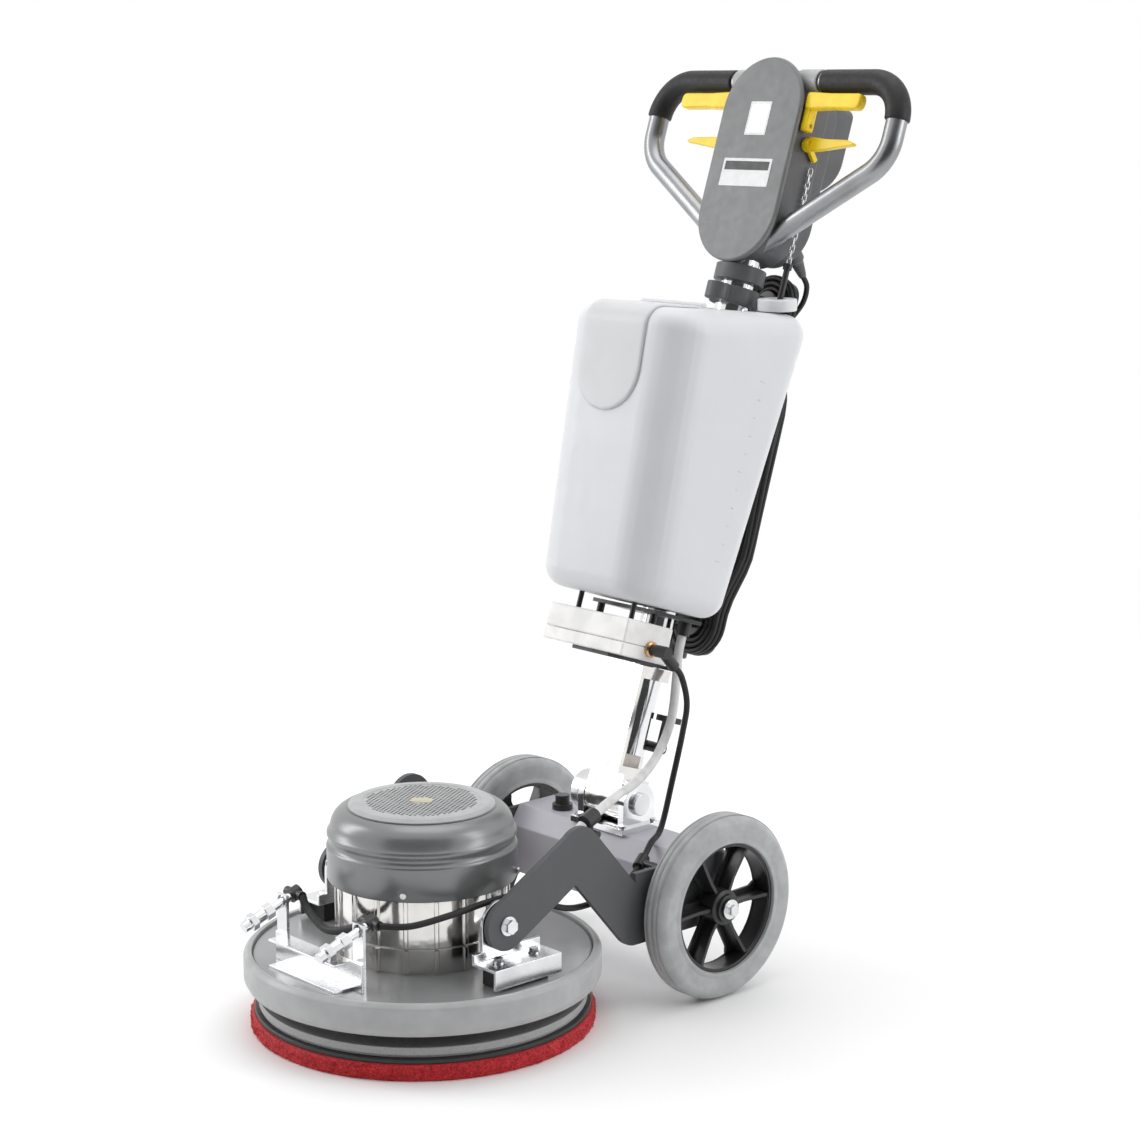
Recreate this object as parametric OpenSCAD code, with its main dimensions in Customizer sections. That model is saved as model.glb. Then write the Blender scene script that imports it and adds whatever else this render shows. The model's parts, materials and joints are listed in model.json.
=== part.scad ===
// Rotary floor machine: a single disc scrubber with a tilting mast, a water
// tank and a loop handle. +Z is up, -Y is the front, the pad stands on Z = 0.

/* [Deck and pad] */
// pad diameter
pad_d = 430; // [400:5:450]
// pad thickness
pad_h = 20; // [15:1:30]
// bumper outer diameter
bumper_d = 446; // [430:2:480]
// deck top height
deck_z = 93; // [85:1:110]
// motor body diameter
motor_d = 212; // [180:2:230]
// fan cowl diameter
cowl_d = 236; // [200:2:250]

/* [Wheels and arms] */
// wheel diameter
wheel_d = 240; // [200:5:260]
// tyre width
tyre_w = 40; // [30:1:50]
// distance from the pad centre back to the axle
axle_y = 328; // [300:2:360]
// wheel centre from the middle plane
wheel_x = 192; // [180:1:220]
// height of the deck pivot
pivot_z = 162; // [150:1:180]

/* [Mast] */
// mast lean from upright
mast_tilt = 18.3; // [0:0.1:40]
// mast tube diameter
mast_d = 48; // [40:1:55]
// height of the mast hinge
hinge_z = 222; // [210:1:240]
// handle loop width over the tubes
loop_w = 460; // [420:5:500]
// handle tube diameter
loop_d = 28; // [25:1:32]
// mains cord diameter
cord_d = 7.5; // [6:0.5:9]

/* [Hidden] */
$fn = 96;

run_gap = 0.05;
bend_lap = 1.5;
bend_step = 0.3;
drive_r = 205;
arm_x = 160;
arm_t = 8;
pivot_y = -5;
pivot_r = 6;
wheel_r = wheel_d / 2;
rim_r = 84;
hub_bore_r = 10;
beam_top = 186;
tube_r = mast_d / 2;
head_s = 724;
head_h = 280;
head_r = 70;
loop_s = 977;
loop_y = -8;
loop_r = loop_d / 2;
loop_x = loop_w / 2 - loop_r;
hook_r = 19;
hook_low_s = 250;
hook_top_s = 690;
valve_x = 70;
valve_y = 12;
lid_y = -101.3;
lid_s = 647.8;
hank_y = 64;
hank_t = 24;
hank_bow = 24;
tank_wall = 4;
clamp_r = 33;

dark = [0.28, 0.29, 0.3];
grey = [0.55, 0.56, 0.57];
pale = [0.78, 0.79, 0.8];
black = [0.08, 0.08, 0.08];
steel = [0.75, 0.76, 0.78];
yellow = [0.98, 0.83, 0.1];
white = [0.93, 0.93, 0.93];
red = [0.85, 0.1, 0.12];

// routes of the free cords and hoses: the first two lie in the mast frame
lead_pts = [[30, 87.5, 738], [29, 101, 727], [20, 110, 706], [0, 113, 680], [-20, 113, 655],
  [-34, 110, 632], [-38, 107, 606]];
plug_lead_pts = [[-23, 111, 340], [-30, 114, 312], [-44, 111, 274], [-56, 104, 234.3]];
water_pts = [[99, 338.7, 413.9], [99, 352, 399], [98, 363, 362], [93, 360, 320],
  [90, 346, 262], [92, 324, 202], [104, 294, 190], [117.6, 268.9, 179.4]];
water_low_pts = [[126.4, 249.1, 170.6], [133, 226, 161], [143, 180, 152], [150, 130, 152],
  [151, 97, 158], [145, 66, 172], [137, 30, 184], [134, -10, 184], [128, -60, 178],
  [114, -110, 172], [92, -139.9, 173.5]];
motor_pts = [[42, 409.2, 436], [43, 401.5, 412.5], [50, 391, 380], [64, 368, 332],
  [80, 326, 294], [101, 272, 276], [127, 206, 271], [141.6, 162.2, 262.6]];
motor_low_pts = [[146.5, 135.2, 255.2], [149, 120, 242], [150, 108, 212], [142, 99, 178],
  [130, 96.5, 163], [112, 90, 152], [91.2, 76.5, 150]];
water_joint = [[118, 268, 179], [126, 250, 171]];
cable_joint = [[142, 160, 262], [146, 138, 256]];

function unit(v) = v / norm(v);
function blend4(a, b, c, d, t) = 0.5 * (2 * b + (c - a) * t
  + (2 * a - 5 * b + 4 * c - d) * t * t + (3 * b - a - 3 * c + d) * t * t * t);
function route(p, n) = [for (i = [0 : len(p) - 2]) for (k = [0 : n - 1])
  blend4(p[max(i - 1, 0)], p[i], p[i + 1], p[min(i + 2, len(p) - 1)], k / n),
  p[len(p) - 1]];
function heading(q, i) = unit(q[min(i + 1, len(q) - 1)] - q[max(i - 1, 0)]);
function frames(q, i, side, made) = i == len(q) ? made :
  let (t = heading(q, i), u = unit(side - (side * t) * t))
  frames(q, i + 1, u, concat(made, [[u, cross(t, u)]]));

module hose(p, r, n, sides = 10) {
  q = route(p, n);
  f = frames(q, 0, [1, 0.2, 0.1], []);
  last = len(q) - 1;
  polyhedron(
    points = [for (i = [0 : last]) for (k = [0 : sides - 1]) let (a = 360 * k / sides)
      q[i] + r * cos(a) * f[i][0] + r * sin(a) * f[i][1]],
    faces = concat([[for (k = [0 : sides - 1]) k]],
      [[for (k = [sides - 1 : -1 : 0]) last * sides + k]],
      [for (i = [0 : last - 1]) for (k = [0 : sides - 1]) let (a = i * sides,
        b = (k + 1) % sides) each [[a + k, a + sides + k, a + b],
        [a + b, a + sides + k, a + sides + b]]]));
}

// places children in the mast frame: hinge at the origin, +Z along the mast
module on_mast() translate([0, axle_y + 2, hinge_z]) rotate([-mast_tilt, 0, 0]) children();
module both_sides() { children(); mirror([1, 0, 0]) children(); }
module along_x(x0, x1, r) translate([x0, 0, 0]) rotate([0, 90, 0])
  cylinder(r = r, h = x1 - x0);
module hex_head(r, h) cylinder(r = r, h = h, $fn = 6);
module slab(w, d, h, r) linear_extrude(h) union() {
  square([w - 2 * r, d], center = true);
  square([w, d - 2 * r], center = true);
  for (x = [-1, 1], y = [-1, 1]) translate([x * (w / 2 - r), y * (d / 2 - r)]) circle(r);
}
module stadium(r, len) union() {
  translate([0, r]) circle(r);
  translate([0, len - r]) circle(r);
  translate([-r, r]) square([2 * r, len - 2 * r]);
}

/* ---- pad and drive ---- */
module scrub_pad() color(red) cylinder(d = pad_d, h = pad_h);
module pad_hook_face() color(black) translate([0, 0, pad_h]) cylinder(r = 210, h = 6);
module drive_disc() color(pale) {
  translate([0, 0, 26]) cylinder(r = drive_r, h = 13);
  translate([0, 0, 39]) cylinder(r = 48, h = 17);
  translate([0, 0, 56]) cylinder(r = 12.5, h = 24);
}

/* ---- deck and motor ---- */
module deck_shell() color(grey) rotate_extrude() union() {
  translate([69.5, deck_z - 5]) square([142.5, 5]);
  translate([206, 60]) square([6, deck_z - 60]);
}
module bumper_ring() color(pale) rotate_extrude() union() {
  translate([212, 57]) square([bumper_d / 2 - 212 - 4, 40]);
  translate([212, 61]) square([bumper_d / 2 - 212, 32]);
  for (z = [61, 93]) translate([bumper_d / 2 - 4, z]) circle(4, $fn = 32);
}
module gear_flange() color(dark) difference() {
  translate([0, 0, 62]) cylinder(r = 69, h = deck_z - 62);
  translate([0, 0, 61]) cylinder(r = 12.5 + run_gap, h = 20);
}
module motor_stator() color(steel) union() {
  translate([0, 0, deck_z]) cylinder(d = motor_d, h = 94);
  for (i = [0 : 17]) rotate(10 + i * 20) translate([motor_d / 2 - 6, -3, deck_z + 2])
    cube([9, 6, 90]);
  rotate(40) translate([0, 0, 150]) along_x(motor_d / 2 - 6, 119, 8);
}
module motor_cowl() color(grey) rotate_extrude() difference() {
  union() {
    translate([0, 187]) square([cowl_d / 2, 40]);
    translate([0, 227]) square([cowl_d / 2 - 2.5, 30]);
    translate([cowl_d / 2 - 4, 227]) circle(4, $fn = 32);
    translate([cowl_d / 2 - 8, 244]) circle(8, $fn = 32);
    translate([0, 250]) square([cowl_d / 2 - 24, 27]);
    translate([cowl_d / 2 - 24, 255]) circle(21.5, $fn = 48);
  }
  translate([-1, 180]) square([1, 120]);
  translate([0, 187]) square([cowl_d / 2 - 5, 40]);
  translate([0, 220]) square([cowl_d / 2 - 26, 53]);
  translate([0, 273]) square([60, 10]);
}
module cowl_vent_plate() color(pale) translate([0, 0, 277]) difference() {
  cylinder(r = 91, h = 4);
  for (i = [-4 : 4], j = [-4 : 4]) if (norm([i, j]) > 1.2 && norm([i, j]) < 4.6)
    translate([i * 14 - 4, j * 14 - 4, -1]) cube([8, 8, 6]);
}
module cowl_screws() color(steel) for (a = [-50 : 90 : 220]) rotate(a)
  translate([0, 0, 196]) along_x(cowl_d / 2, cowl_d / 2 + 4, 4);
module deck_brackets() color(steel) both_sides() difference() {
  union() {
    translate([151, -48, 118]) cube([44, 105, 4]);
    translate([191, -48, 97]) cube([4, 105, 21]);
    translate([151, -48, 122]) cube([5, 105, 10]);
    translate([151, pivot_y - 30, 130]) cube([5, 60, pivot_z - 130]);
    translate([0, pivot_y, pivot_z]) along_x(151, 156, 30);
  }
  translate([0, pivot_y, pivot_z]) along_x(140, 170, pivot_r + run_gap);
}
module bracket_bolts() color(steel) both_sides() for (y = [-24, 32])
  translate([172, y, 122]) { cylinder(r = 7, h = 1.5);
    translate([0, 0, 1.5]) hex_head(5.5, 4.5); }
module bracket_blocks() color(black) both_sides() translate([156, -36, deck_z])
  cube([30, 80, 25]);
module spray_posts() color(steel) both_sides() difference() {
  translate([66, -160, deck_z]) cube([20, 4, 84]);
  translate([76, -150, 168]) rotate([90, 0, 0]) cylinder(r = 8, h = 20);
}
module spray_bridge() color(steel) union() {
  translate([-86, -163, deck_z]) cube([172, 3, 36]);
  translate([-66, -188, deck_z]) cube([132, 25, 3]);
  translate([-66, -188, 126]) cube([132, 25, 3]);
}
module at_nozzle() both_sides() translate([76, -156, 168]) rotate([109, 0, 0]) children();
module spray_nozzles() color(steel) at_nozzle() {
  translate([0, 0, -10]) cylinder(r = 5.5, h = 30);
  translate([0, 0, 20]) cylinder(r = 10, h = 12, $fn = 6);
  translate([0, 0, 32]) cylinder(r = 7.5, h = 14);
  translate([0, 0, 46]) cylinder(r = 11, h = 9, $fn = 6);
  translate([0, 0, 55]) cylinder(r = 7, h = 10);
}
module spray_elbows() color(black) at_nozzle() {
  translate([0, 0, -24]) cylinder(r = 9, h = 14);
  translate([0, 0, -17]) along_x(-16, 16, 6);
}
module spray_link_hose() color(black) hose([[-60, -139.9, 173.5], [-44, -143, 160],
  [0, -148, 148], [44, -143, 160], [60, -139.9, 173.5]], 5, 5);

/* ---- chassis ---- */
module arm_bar(a, b, r) {
  translate(a) circle(r);
  translate(b) circle(r);
  translate(a) rotate(atan2(b[1] - a[1], b[0] - a[0])) translate([0, -r])
    square([norm(b - a), 2 * r]);
}
module side_arms() color(dark) both_sides() difference() {
  translate([arm_x, 0, 0]) rotate([90, 0, 90]) linear_extrude(arm_t) union() {
    arm_bar([pivot_y, pivot_z], [112, 229], 31);
    arm_bar([112, 229], [206, 121], 32);
    translate([206, 89]) square([140, 93]);
  }
  translate([0, pivot_y, pivot_z]) along_x(150, 180, pivot_r + run_gap);
  translate([0, axle_y, wheel_r]) along_x(150, 180, hub_bore_r + run_gap);
}
module axle_housing() color(grey) difference() {
  across(arm_x) polygon([[282, 96], [282, 160], [300, beam_top], [362, beam_top],
    [376, 174], [376, 96]]);
  across(arm_x + 1) polygon([[286, 100], [286, 158.7], [302, beam_top - 4],
    [360, beam_top - 4], [372, 172], [372, 100]]);
}
module across(x) rotate([90, 0, 90]) translate([0, 0, -x]) linear_extrude(2 * x) children();
module axle_rod() color(steel) translate([0, axle_y, wheel_r]) along_x(-214, 214, hub_bore_r);
module axle_bolts() color(steel) both_sides() translate([0, axle_y, wheel_r]) {
  along_x(214.2, 216.2, 13);
  translate([216.2, 0, 0]) rotate([0, 90, 0]) hex_head(8, 7);
}
module deck_pivot_bolts() color(steel) both_sides() translate([0, pivot_y, pivot_z]) {
  along_x(144, arm_x + arm_t, pivot_r);
  along_x(arm_x + arm_t, arm_x + arm_t + 2, 12);
  translate([arm_x + arm_t + 2, 0, 0]) rotate([0, 90, 0]) hex_head(9, 7);
  translate([142.5, 0, 0]) rotate([0, 90, 0]) hex_head(10, 7.5);
  along_x(156.5, arm_x, 11);
}
module hinge_yoke() color(steel) translate([0, axle_y + 2, 0]) difference() {
  union() {
    translate([-50, -36, beam_top]) cube([100, 70, 8]);
    both_sides() translate([33, 0, 0]) {
      translate([0, -28, beam_top]) cube([11, 56, hinge_z - beam_top]);
      translate([0, 0, hinge_z]) along_x(0, 11, 28);
    }
    for (x = [-42, 42], y = [-28, 26]) translate([x, y, beam_top]) cylinder(r = 6, h = 12);
  }
  translate([0, 0, hinge_z]) along_x(-60, 60, 9 + run_gap);
}
module hinge_pin() color(steel) translate([0, axle_y + 2, hinge_z]) {
  along_x(-54, 46, 9);
  along_x(44.3, 50, 15);
  along_x(-60, -44.3, 27.5);
}
module rod(a, b, r) translate(a) rotate([0, acos((b[2] - a[2]) / norm(b - a)),
  atan2(b[1] - a[1], b[0] - a[0])]) cylinder(r = r, h = norm(b - a));
module chassis_clips() color(black) {
  translate([-100, 325, beam_top]) cylinder(r = 14, h = 8);
  translate([-100, 325, beam_top + 8]) cylinder(r = 10, h = 12);
  rod(water_joint[0], water_joint[1], 8);
  rod([122, 259, 175], [arm_x, 259, 175], 5);
  rod(cable_joint[0], cable_joint[1], 10);
  rod([144, 149, 259], [144, 149, 242], 5);
  rod([144, 149, 242], [arm_x, 149, 242], 5);
}

/* ---- wheels ---- */
module wheel_at(s) mirror([s < 0 ? 1 : 0, 0, 0]) translate([wheel_x, axle_y, wheel_r])
  rotate([0, 90, 0]) children();
module tyre() color(grey) rotate_extrude() difference() {
  union() {
    translate([rim_r, -tyre_w / 2]) square([wheel_r - rim_r - 14, tyre_w]);
    translate([rim_r, -tyre_w / 2 + 14]) square([wheel_r - rim_r, tyre_w - 28]);
    for (z = [-1, 1]) translate([wheel_r - 14, z * (tyre_w / 2 - 14)]) circle(14, $fn = 48);
  }
  for (z = [-9, 9]) translate([wheel_r, z]) circle(1.2, $fn = 16);
}
module rim() color(black) difference() {
  union() {
    rotate_extrude() translate([rim_r - 5, -15]) square([5, 30]);
    translate([0, 0, -19]) cylinder(r = 23, h = 39);
    for (i = [0 : 5]) rotate(i * 60) {
      translate([15, -10, -14]) cube([rim_r - 17, 20, 4]);
      translate([15, -2.5, -12]) cube([rim_r - 17, 5, 24]);
    }
  }
  translate([0, 0, -30]) cylinder(r = hub_bore_r + run_gap, h = 60);
}
module tyre_right() wheel_at(1) tyre();
module rim_right() wheel_at(1) rim();
module tyre_left() wheel_at(-1) tyre();
module rim_left() wheel_at(-1) rim();

/* ---- mast ---- */
module mast_foot() color(steel) on_mast() difference() {
  union() {
    along_x(-32, 32, 27);
    translate([-32, -27, 0]) cube([64, 49, 178]);
    translate([-32, -40, 34]) cube([64, 14, 144]);
    translate([-27, 21, 66]) cube([12, 17, 20]);
    translate([0, 31, 76]) along_x(-20, 36, 3);
  }
  along_x(-40, 40, 9 + run_gap);
  translate([0, 0, 60]) cylinder(r = tube_r, h = 130);
  translate([-24, -34, 44]) cube([70, 50, 118]);
  translate([12, 14, 30]) cube([30, 10, 160]);
}
module mast_tube() color(steel) on_mast() difference() {
  translate([0, 0, 60]) cylinder(r = tube_r, h = head_s - 50);
  translate([0, 0, 58]) cylinder(r = tube_r - 3, h = head_s);
}
module mast_lock_pedal() color(black) on_mast() difference() {
  union() {
    translate([0, 31, 76]) along_x(-14, 34, 7);
    translate([26, 25, 76]) cube([8, 12, 44]);
    translate([12, 27, 112]) cube([22, 26, 8]);
  }
  translate([0, 31, 76]) along_x(-30, 50, 3 + run_gap);
}
module pump_case() color(white) on_mast() difference() {
  translate([-75, -128, 184]) cube([150, 84, 17]);
  translate([-71, -124, 188]) cube([142, 76, 30]);
}
module pump_lid() color(white) on_mast() translate([0, -86, 201.3]) slab(150, 84, 31, 3);
module pump_elbow() color(black) on_mast() translate([75, -78, 200]) {
  along_x(0, 14, 7);
  along_x(12, 33, 8);
  translate([24, 0, 0]) rotate([-120, 0, 0]) cylinder(r = 7.5, h = 30);
}
module tank_bracket() color(black) on_mast() {
  difference() {
    translate([-60, -68, 246]) cube([120, 88, 5]);
    translate([0, 0, 240]) cylinder(r = tube_r, h = 20);
  }
  for (x = [-50, 50]) {
    translate([x, -60, 232.3]) cylinder(r = 5, h = 13.7);
    translate([x, -100, 232.3]) cylinder(r = 3.5, h = 22.4);
  }
  difference() {
    translate([-34, -110, 179]) cube([68, 138, 4.8]);
    translate([0, 0, 170]) cylinder(r = tube_r, h = 20);
  }
  translate([42, 8, 228]) cylinder(r = 9, h = 18);
}
module tank_block(g) hull() {
  for (x = [-1, 1]) {
    translate([x * 78, -127, 283]) sphere(28 + g, $fn = 32);
    translate([x * 76, -8, 283]) sphere(28 + g, $fn = 32);
    translate([x * 84, -166, 600]) sphere(28 + g, $fn = 32);
    translate([x * 81, 20, 642]) sphere(28 + g, $fn = 32);
    translate([x * 62, 0, 340]) sphere(28 + g, $fn = 32);
  }
}
module water_tank() color(white) on_mast() difference() {
  tank_block(0);
  difference() {
    tank_block(-tank_wall);
    translate([-31 - tank_wall, -31 - tank_wall, 200]) cube([62 + 2 * tank_wall, 130, 520]);
  }
  translate([-31, -31, 200]) cube([62, 120, 520]);
  translate([valve_x, valve_y, 600]) cylinder(r = 12, h = 100, $fn = 32);
  translate([-50, -130, 596]) cylinder(r = 22, h = 60);
}
module lid_prism() translate([-8, 0, 0]) rotate([90, 0, 0]) linear_extrude(260)
  translate([0, 484]) stadium(59, 240);
module tank_lid() color(white) on_mast() {
  intersection() {
    difference() { tank_block(3.5); tank_block(0.5); }
    lid_prism();
    translate([-100, -240, 470]) cube([200, 240 + lid_y, 240]);
  }
  translate([0, lid_y, lid_s]) along_x(-66, 50, 3.5);
}
module tank_neck() color(white) on_mast() translate([valve_x, valve_y, 672.5])
  rotate([mast_tilt, 0, 0]) difference() {
    cylinder(r = 26, h = 16);
    translate([0, 0, -1]) cylinder(r = 11, h = 20);
  }
module mast_clamp() color(grey) on_mast() difference() {
  union() {
    translate([0, 0, 672]) cylinder(r = clamp_r, h = 22);
    translate([0, -34, 672]) cylinder(r = 16, h = 22);
    translate([-14, -40, 674]) cube([28, 40, 18]);
  }
  translate([0, 0, 670]) cylinder(r = tube_r, h = 30);
}
module head_neck() color(dark) on_mast() difference() {
  translate([0, 0, 702]) cylinder(r = 34, h = head_s - 702);
  translate([0, 0, 700]) cylinder(r = tube_r, h = 40);
}

/* ---- handle head ---- */
module flat_on_mast(y0, y1) translate([0, y1, 0]) rotate([90, 0, 0])
  linear_extrude(y1 - y0) children();
module pipe(p, r) {
  for (i = [0 : len(p) - 2]) {
    a = p[i];
    b = p[i + 1];
    t0 = i == 0 ? 0 : pipe_cut(p, i) - bend_lap;
    t1 = i == len(p) - 2 ? 0 : pipe_cut(p, i + 1) - bend_lap;
    u = unit([b[0] - a[0], b[1] - a[1]]);
    translate([a[0] + u[0] * t0, 0, a[1] + u[1] * t0]) rotate([0, 90 - atan2(u[1], u[0]), 0])
      cylinder(r = r, h = norm([b[0] - a[0], b[1] - a[1]]) - t0 - t1);
  }
  for (i = [1 : 1 : len(p) - 2]) {
    u = unit([p[i][0] - p[i - 1][0], p[i][1] - p[i - 1][1]]);
    turn = pipe_turn(p, i);
    side = sign(turn);
    c = [p[i][0], p[i][1]] - u * pipe_cut(p, i) + side * p[i][2] * [-u[1], u[0]];
    start = atan2(u[1], u[0]) - 90 * side + (side < 0 ? turn : 0);
    translate([c[0], 0, c[1]]) rotate([90, 0, 0]) rotate([0, 0, start])
      rotate_extrude(angle = abs(turn)) translate([p[i][2], 0]) circle(r - bend_step);
  }
}
function pipe_turn(p, i) = let (a = atan2(p[i][1] - p[i - 1][1], p[i][0] - p[i - 1][0]),
  b = atan2(p[i + 1][1] - p[i][1], p[i + 1][0] - p[i][0]), d = b - a)
  d > 180 ? d - 360 : d < -180 ? d + 360 : d;
function pipe_cut(p, i) = p[i][2] * tan(abs(pipe_turn(p, i)) / 2);
// loop outline in the plane of the handle: x, distance along the mast, bend radius
loop_pts = [[8, loop_s, 0], [loop_x, loop_s, 60], [loop_x, 872, 55], [28, 752, 0]];
grip_pts = [[76, loop_s, 0], [loop_x, loop_s, 60], [loop_x, loop_s - 62, 0]];
module loop_path(r) both_sides() translate([0, loop_y, 0]) pipe(loop_pts, r);

module head_housing() color(dark) on_mast() difference() {
  union() {
    flat_on_mast(-27, 30) translate([0, head_s + 5]) stadium(head_r - 5, head_h - 10);
    flat_on_mast(30, 58) translate([0, head_s + 14]) stadium(head_r - 14, head_h - 28);
  }
  translate([0, 0, head_s - 10]) cylinder(r = tube_r, h = 30);
  both_sides() translate([0, loop_y, 0]) pipe([[27, 751.3, 0], [loop_x, 872, 0]],
    loop_r + run_gap);
  translate([0, loop_y, loop_s]) along_x(-90, 90, 17.1);
  translate([0, -15, 915]) along_x(-90, 90, 6 + run_gap);
  translate([0, -4, 893]) along_x(-90, 90, 6 + run_gap);
}
module head_cover() color(dark) on_mast() union() {
  flat_on_mast(-35, -27) translate([0, head_s]) stadium(head_r, head_h);
  translate([-19, -35.6, 896]) cube([38, 0.8, 46]);
  translate([-44, -35.6, 826]) cube([88, 0.8, 38]);
}
module switch_box() color(dark) on_mast() { switch_body(); cord_gland(); }
module switch_body() translate([0, 58, 0]) union() {
  translate([-45, 0, 900]) cube([90, 42, 72]);
  translate([0, 42, 900]) rotate([90, 0, 0]) intersection() {
    cylinder(r = 45, h = 42);
    translate([-45, -45, 0]) cube([90, 46, 42]);
  }
}
module cord_gland() translate([30, 66, 756]) {
  translate([0, 1, 0]) rotate([90, 0, 0]) cylinder(r = 9, h = 9);
  rotate([-130, 0, 0]) cylinder(r1 = 11, r2 = 6, h = 28);
}
module handle_loop() color(grey) on_mast() loop_path(loop_r);
module handle_grips() color(black) on_mast() both_sides() translate([0, loop_y, 0])
  difference() { pipe(grip_pts, loop_r + 2.5); pipe(grip_pts, loop_r);
    translate([loop_x - 30, -30, loop_s - 100]) cube([60, 60, 44]); }
module grip_collars() color(pale) on_mast() both_sides() translate([0, loop_y, loop_s])
  difference() { along_x(39, 75.5, 17); along_x(30, 80, loop_r); }
module switch_levers() color(yellow) on_mast() {
  translate([0, -15, 915]) along_x(-78, 78, 6);
  both_sides() {
    translate([68, -24, 910]) cube([10, 18, 30]);
    translate([68, -19, 947]) rotate([0, 90, 0]) slab(22, 14, 94, 6);
  }
}
module water_levers() color(yellow) on_mast() {
  translate([0, -4, 893]) along_x(-74, 74, 6);
  both_sides() translate([70, 0, 0]) {
    translate([0, -10, 884]) cube([6, 12, 22]);
    flat_on_mast(-8, 0) polygon([[2, 884], [2, 903], [70, 900], [82, 896], [80, 893],
      [20, 884]]);
  }
  translate([67, -4, 893]) rotate([-130, 0, 0]) translate([0, -4, 0]) cube([6, 8, 26]);
}
module valve_rod() color(steel) on_mast() translate([valve_x, valve_y, 0]) {
  translate([0, 0, 640]) cylinder(r = 4, h = 88);
  translate([0, 0, 728]) cylinder(r = 6, h = 8);
  translate([0, 0, 736]) cylinder(r = 2.6, h = 130);
}

/* ---- cord storage ---- */
module hook(s, dir, root) on_mast() translate([0, 0, s]) {
  translate([-10, root + 0.3, -7]) cube([20, 61 - root, 14]);
  translate([0, 89, 0]) rotate([90, 0, 0]) cylinder(r = hook_r, h = 29);
  translate([0, 99, 0]) rotate([90, 0, 0]) linear_extrude(10) union() {
    translate([0, dir * 18]) circle(22);
    translate([-22, dir > 0 ? -16 : -18]) square([44, 34]);
  }
}
module hook_lower() color(black) hook(hook_low_s, -1, tube_r);
module hook_upper() color(black) hook(hook_top_s, 1, clamp_r + 1.4);
module mains_hank() color(black) on_mast() intersection() {
  flat_on_mast(hank_y - 1, hank_y + hank_t + hank_bow + 1) translate([0, hook_low_s])
    hank_ring(hook_r + 24, hook_r + 0.5, hook_top_s - hook_low_s);
  across(60) hank_side();
}
module hank_ring(outer, inner, span) difference() {
  translate([0, -outer]) stadium(outer, span + 2 * outer);
  translate([0, -inner]) stadium(inner, span + 2 * inner);
}
// the runs between the hooks hang slack and bow backwards
function bow_edge(y) = [[y, 150], [y, 268], [y + hank_bow, 360], [y + hank_bow, 560],
  [y, 644], [y, 760]];
function reversed(p) = [for (i = [len(p) - 1 : -1 : 0]) p[i]];
module hank_side() polygon(concat(bow_edge(hank_y), reversed(bow_edge(hank_y + hank_t))));
module mains_lead() color(black) on_mast() {
  hose(lead_pts, cord_d / 2, 4);
  hose(plug_lead_pts, cord_d / 2, 4);
}
module mains_plug() color(black) on_mast() {
  translate([-56, 104, 200]) cylinder(r1 = 17, r2 = 9, h = 34);
  for (x = [-9.5, 9.5]) translate([-56 + x, 104, 181]) cylinder(r = 2.4, h = 19);
}
module water_hose() color(black) hose(water_pts, 4, 4);
module water_hose_low() color(black) hose(water_low_pts, 4, 4);
module motor_cable() color(pale) hose(motor_pts, 6, 4);
module motor_cable_low() color(pale) hose(motor_low_pts, 6, 4);

scrub_pad();
pad_hook_face();
drive_disc();
deck_shell();
bumper_ring();
gear_flange();
motor_stator();
motor_cowl();
cowl_vent_plate();
cowl_screws();
deck_brackets();
bracket_bolts();
bracket_blocks();
spray_posts();
spray_bridge();
spray_nozzles();
spray_elbows();
spray_link_hose();
side_arms();
axle_housing();
axle_rod();
axle_bolts();
deck_pivot_bolts();
hinge_yoke();
hinge_pin();
chassis_clips();
tyre_right();
rim_right();
tyre_left();
rim_left();
mast_foot();
mast_tube();
mast_lock_pedal();
pump_case();
pump_lid();
pump_elbow();
tank_bracket();
water_tank();
tank_lid();
tank_neck();
mast_clamp();
head_neck();
head_housing();
head_cover();
switch_box();
handle_loop();
handle_grips();
grip_collars();
switch_levers();
water_levers();
valve_rod();
hook_lower();
hook_upper();
mains_hank();
mains_lead();
mains_plug();
water_hose();
water_hose_low();
motor_cable();
motor_cable_low();
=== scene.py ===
"""Looks of the rotary floor machine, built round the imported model.

Lengths are in metres, in the model's own frame. The mast leans back, so what it carries
is built in the mast's frame: x across, y back, z along the mast, the hinge at the origin.
"""
import json
import math
import random

import bmesh
import bpy
from mathutils import Matrix, Vector, noise
from mathutils.bvhtree import BVHTree
from mathutils.geometry import delaunay_2d_cdt


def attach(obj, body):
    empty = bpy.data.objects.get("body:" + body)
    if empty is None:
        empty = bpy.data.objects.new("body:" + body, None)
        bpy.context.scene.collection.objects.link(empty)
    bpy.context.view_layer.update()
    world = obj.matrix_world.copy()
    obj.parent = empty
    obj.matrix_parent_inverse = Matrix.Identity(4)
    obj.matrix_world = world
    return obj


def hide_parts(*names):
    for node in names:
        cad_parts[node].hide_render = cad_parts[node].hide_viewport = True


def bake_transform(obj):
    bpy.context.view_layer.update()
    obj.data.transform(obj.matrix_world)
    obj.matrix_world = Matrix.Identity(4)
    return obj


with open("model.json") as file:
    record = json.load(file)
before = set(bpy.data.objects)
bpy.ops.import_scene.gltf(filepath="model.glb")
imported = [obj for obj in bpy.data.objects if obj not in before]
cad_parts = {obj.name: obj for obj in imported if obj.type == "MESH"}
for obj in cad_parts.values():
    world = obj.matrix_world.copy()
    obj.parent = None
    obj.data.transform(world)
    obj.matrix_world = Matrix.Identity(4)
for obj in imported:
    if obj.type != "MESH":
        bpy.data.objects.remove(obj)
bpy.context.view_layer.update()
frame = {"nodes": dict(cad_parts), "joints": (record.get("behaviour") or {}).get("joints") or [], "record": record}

NODES = frame["nodes"]
RECORD = frame["record"]
JOINTS = {j["name"]: j for j in frame["joints"]}
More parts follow.
